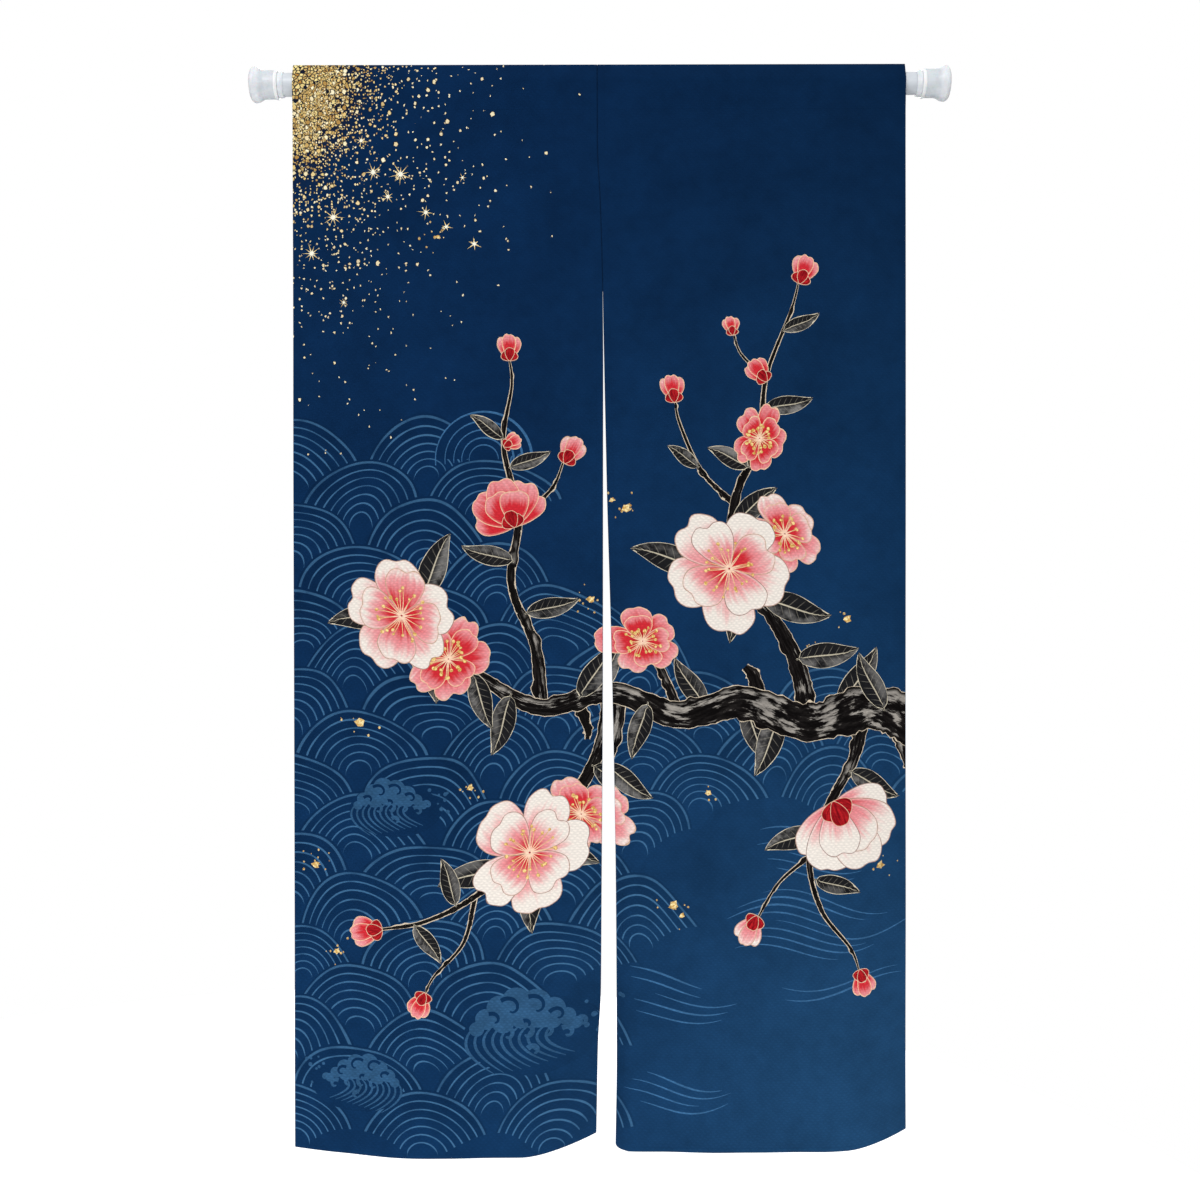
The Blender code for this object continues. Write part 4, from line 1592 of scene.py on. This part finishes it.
def soft_plastic(rod):
    """Slightly cloudy white soft plastic, with fine moulding marks round the axis and a painted
    highlight round each foot's lip.
    """
    bench = Bench(bpy.data.materials.new("cloudy_white_plastic"))
    place = bench.take("ShaderNodeTexCoord", "Object")
    cloud, grain = bench.noise(place, 70.0, 4.0, 0.6), bench.noise(place, 1500.0)
    along = bench.split(place)[0]
    marks = bench.math("SINE", along * (math.tau / MOULD_MARKS))
    from_end = bench.math("PINGPONG", along, ROD_LENGTH / 2)
    coats = [(from_end.ramp(0.003, 0.001) * 0.6, rgb(222, 216, 219))]
    # bands over the plastic: the painted highlight on the lip, and the greyer waist
    for low, high, begins, ends, strength, tint in FOOT_BANDS:
        band = from_end.ramp(low - begins, low) * from_end.ramp(high + ends, high)
        coats.append((band * strength, rgb(*tint)))
    colour = bench.layers(rod.foot_white, *coats)
    return bench.finish(
        Base_Color=bench.shade(colour, cloud.ramp(0.3, 0.7, 0.955, 1.03)),
        Roughness=cloud.ramp(0.3, 0.7, 0.22, 0.32),
        Normal=bench.bump(0.1, 0.0001, marks * 0.12 + grain),
        Subsurface_Weight=0.15,
        Subsurface_Scale=0.004,
    )


# ---------------------------------------------------------------- the studio

WHITE, PALE = (1.0, 1.0, 1.0, 1.0), (0.9, 0.9, 0.9, 1.0)
SKY = (0.14, 0.78)  # how strongly the surroundings shine from below and from above
FLOOR_RADIUS = 1.5
LIGHT_TARGET = (0.49, 0.0, -0.7)
LIGHTS = (
    # name, place, power, size
    ("key", (-0.9, -2.6, 1.5), 46.0, 1.8),
    ("fill", (2.2, -2.2, 0.4), 18.0, 1.8),
    ("rear", (0.5, 2.6, 1.4), 36.0, 1.8),
)


def lay_floor(drop):
    bpy.ops.object.select_all(action="DESELECT")
    bpy.ops.mesh.primitive_circle_add(
        vertices=96, radius=FLOOR_RADIUS, fill_type="NGON", location=(0, 0, -drop)
    )
    floor = bpy.context.object
    floor.name = "floor"
    pale = Bench(bpy.data.materials.new("pale_floor"))
    pale.finish(Base_Color=PALE, Roughness=0.8, Emission_Color=WHITE, Emission_Strength=0.6)
    floor.data.materials.append(pale.owner)


def light_studio(scene):
    """White surroundings that shine mostly from above, and three large soft lights."""
    bench = Bench(bpy.data.worlds.new("studio"), "Background")
    upward = bench.split(bench.take("ShaderNodeTexCoord", "Generated"))[2]
    seen = bench.take("ShaderNodeLightPath", "Is Camera Ray")
    shine = seen.choose(1.0, upward.slope(-1.0, 1.0, *SKY))
    scene.world = bench.finish(Color=WHITE, Strength=shine)
    for name, position, power, size in LIGHTS:
        light = bpy.data.lights.new(name, "AREA")
        light.energy, light.size = power, size
        lamp = bpy.data.objects.new(name, light)
        lamp.location = position
        towards = Vector(LIGHT_TARGET) - lamp.location
        lamp.rotation_euler = towards.to_track_quat("-Z", "Y").to_euler()
        scene.collection.objects.link(lamp)


def seat_camera(scene, stage):
    camera = bpy.data.cameras.new("camera")
    camera.lens = stage.lens
    camera.sensor_width = 36.0
    camera.clip_start, camera.clip_end = 0.05, 50.0
    seat = bpy.data.objects.new("camera", camera)
    seat.location = stage.camera_place
    seat.rotation_euler = (math.radians(90), stage.camera_roll, 0)
    scene.collection.objects.link(seat)
    scene.camera = seat


# ---------------------------------------------------------------- settings


def colour_setting(name, description, *colour):
    return bpy.props.FloatVectorProperty(
        name=name,
        description=description,
        subtype="COLOR",
        size=3,
        min=0.0,
        max=1.0,
        default=rgb(*colour),
    )


class NorenPrintSettings(bpy.types.PropertyGroup):
    petal_ivory: colour_setting("Petal ivory", "Rim of the pale petals", 236, 228, 219)
    petal_pink: colour_setting("Petal pink", "Wash in the middle of a petal", 229, 144, 148)
    petal_red: colour_setting("Petal red", "Deep wash at the base of a petal", 205, 44, 54)
    wave_line: colour_setting("Wave line", "Seigaiha lines on the ground", 68, 114, 154)


class NorenRodSettings(bpy.types.PropertyGroup):
    tube_white: colour_setting("Tube white", "Coating of the two tubes", 213, 219, 226)
    foot_white: colour_setting("Foot white", "Soft plastic of the feet and bushes", 232, 236, 241)


class NorenStageSettings(bpy.types.PropertyGroup):
    camera_place: bpy.props.FloatVectorProperty(
        name="Camera place",
        description="Where the camera stands",
        default=(0.48475, -2.015, -0.7194),
        unit="LENGTH",
        subtype="TRANSLATION",
    )
    camera_roll: bpy.props.FloatProperty(
        name="Camera roll",
        description="How far the camera is turned about its own line of sight",
        default=math.radians(0.13),
        subtype="ANGLE",
    )
    lens: bpy.props.FloatProperty(
        name="Lens", description="Focal length on a 36 mm sensor", default=43.34, unit="CAMERA"
    )
    floor_drop: bpy.props.FloatProperty(
        name="Floor drop", description="Floor below the rod", default=1.66, unit="LENGTH"
    )


# ---------------------------------------------------------------- operators


class NOREN_OT_hang_panels(bpy.types.Operator):
    """Cuts, prints and hems the two cloth panels and hangs them by their pocket on the rod"""

    bl_idname = "noren.hang_panels"
    bl_label = "Hang the panels"

    def execute(self, context):
        dyes, wrong_side = all_dyes(context.scene.noren_print)
        motifs = printed_motifs()
        for side, tubes in (("left", ["tube_outer", "tube_inner"]), ("right", ["tube_inner"])):
            panel = sew_panel(side, motifs, dyes, wrong_side)
            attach(panel, "root")
            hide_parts("panel_" + side)
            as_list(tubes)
        return {"FINISHED"}


class NOREN_OT_finish_rod(bpy.types.Operator):
    """Gives the rod's tubes their white coating, and its feet and bushes their soft plastic"""

    bl_idname = "noren.finish_rod"
    bl_label = "Finish the rod"

    def execute(self, context):
        rod = context.scene.noren_rod
        coating, plastic = coated_steel(rod), soft_plastic(rod)
        tubes = ("tube_outer", "tube_inner")
        for name in (*tubes, "foot_left", "foot_right", "bush_left", "bush_right"):
            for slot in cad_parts[name].material_slots:
                slot.material = coating if name in tubes else plastic
        return {"FINISHED"}


class NOREN_OT_set_stage(bpy.types.Operator):
    """Sets the pale floor, the soft studio light and the camera"""

    bl_idname = "noren.set_stage"
    bl_label = "Set the stage"

    def execute(self, context):
        scene = context.scene
        scene.view_settings.view_transform = "Standard"
        lay_floor(scene.noren_stage.floor_drop)
        light_studio(scene)
        seat_camera(scene, scene.noren_stage)
        return {"FINISHED"}


class NOREN_PT_sidebar(bpy.types.Panel):
    bl_idname = "NOREN_PT_sidebar"
    bl_label = "Noren"
    bl_space_type = "VIEW_3D"
    bl_region_type = "UI"
    bl_category = "Noren"

    def draw(self, context):
        scene = context.scene
        for settings in (scene.noren_print, scene.noren_rod, scene.noren_stage):
            box = self.layout.box()
            for name in settings.__annotations__:
                box.prop(settings, name)
        for operator in OPERATORS:
            self.layout.operator(operator.bl_idname)


OPERATORS = (NOREN_OT_hang_panels, NOREN_OT_finish_rod, NOREN_OT_set_stage)
CLASSES = (NorenPrintSettings, NorenRodSettings, NorenStageSettings, *OPERATORS, NOREN_PT_sidebar)


def register():
    for cls in CLASSES:
        bpy.utils.register_class(cls)
    bpy.types.Scene.noren_print = bpy.props.PointerProperty(type=NorenPrintSettings)
    bpy.types.Scene.noren_rod = bpy.props.PointerProperty(type=NorenRodSettings)
    bpy.types.Scene.noren_stage = bpy.props.PointerProperty(type=NorenStageSettings)


def unregister():
    del bpy.types.Scene.noren_stage
    del bpy.types.Scene.noren_rod
    del bpy.types.Scene.noren_print
    for cls in reversed(CLASSES):
        bpy.utils.unregister_class(cls)


def main():
    register()
    bpy.ops.noren.hang_panels()
    bpy.ops.noren.finish_rod()
    bpy.ops.noren.set_stage()


if __name__ == "__main__":
    main()
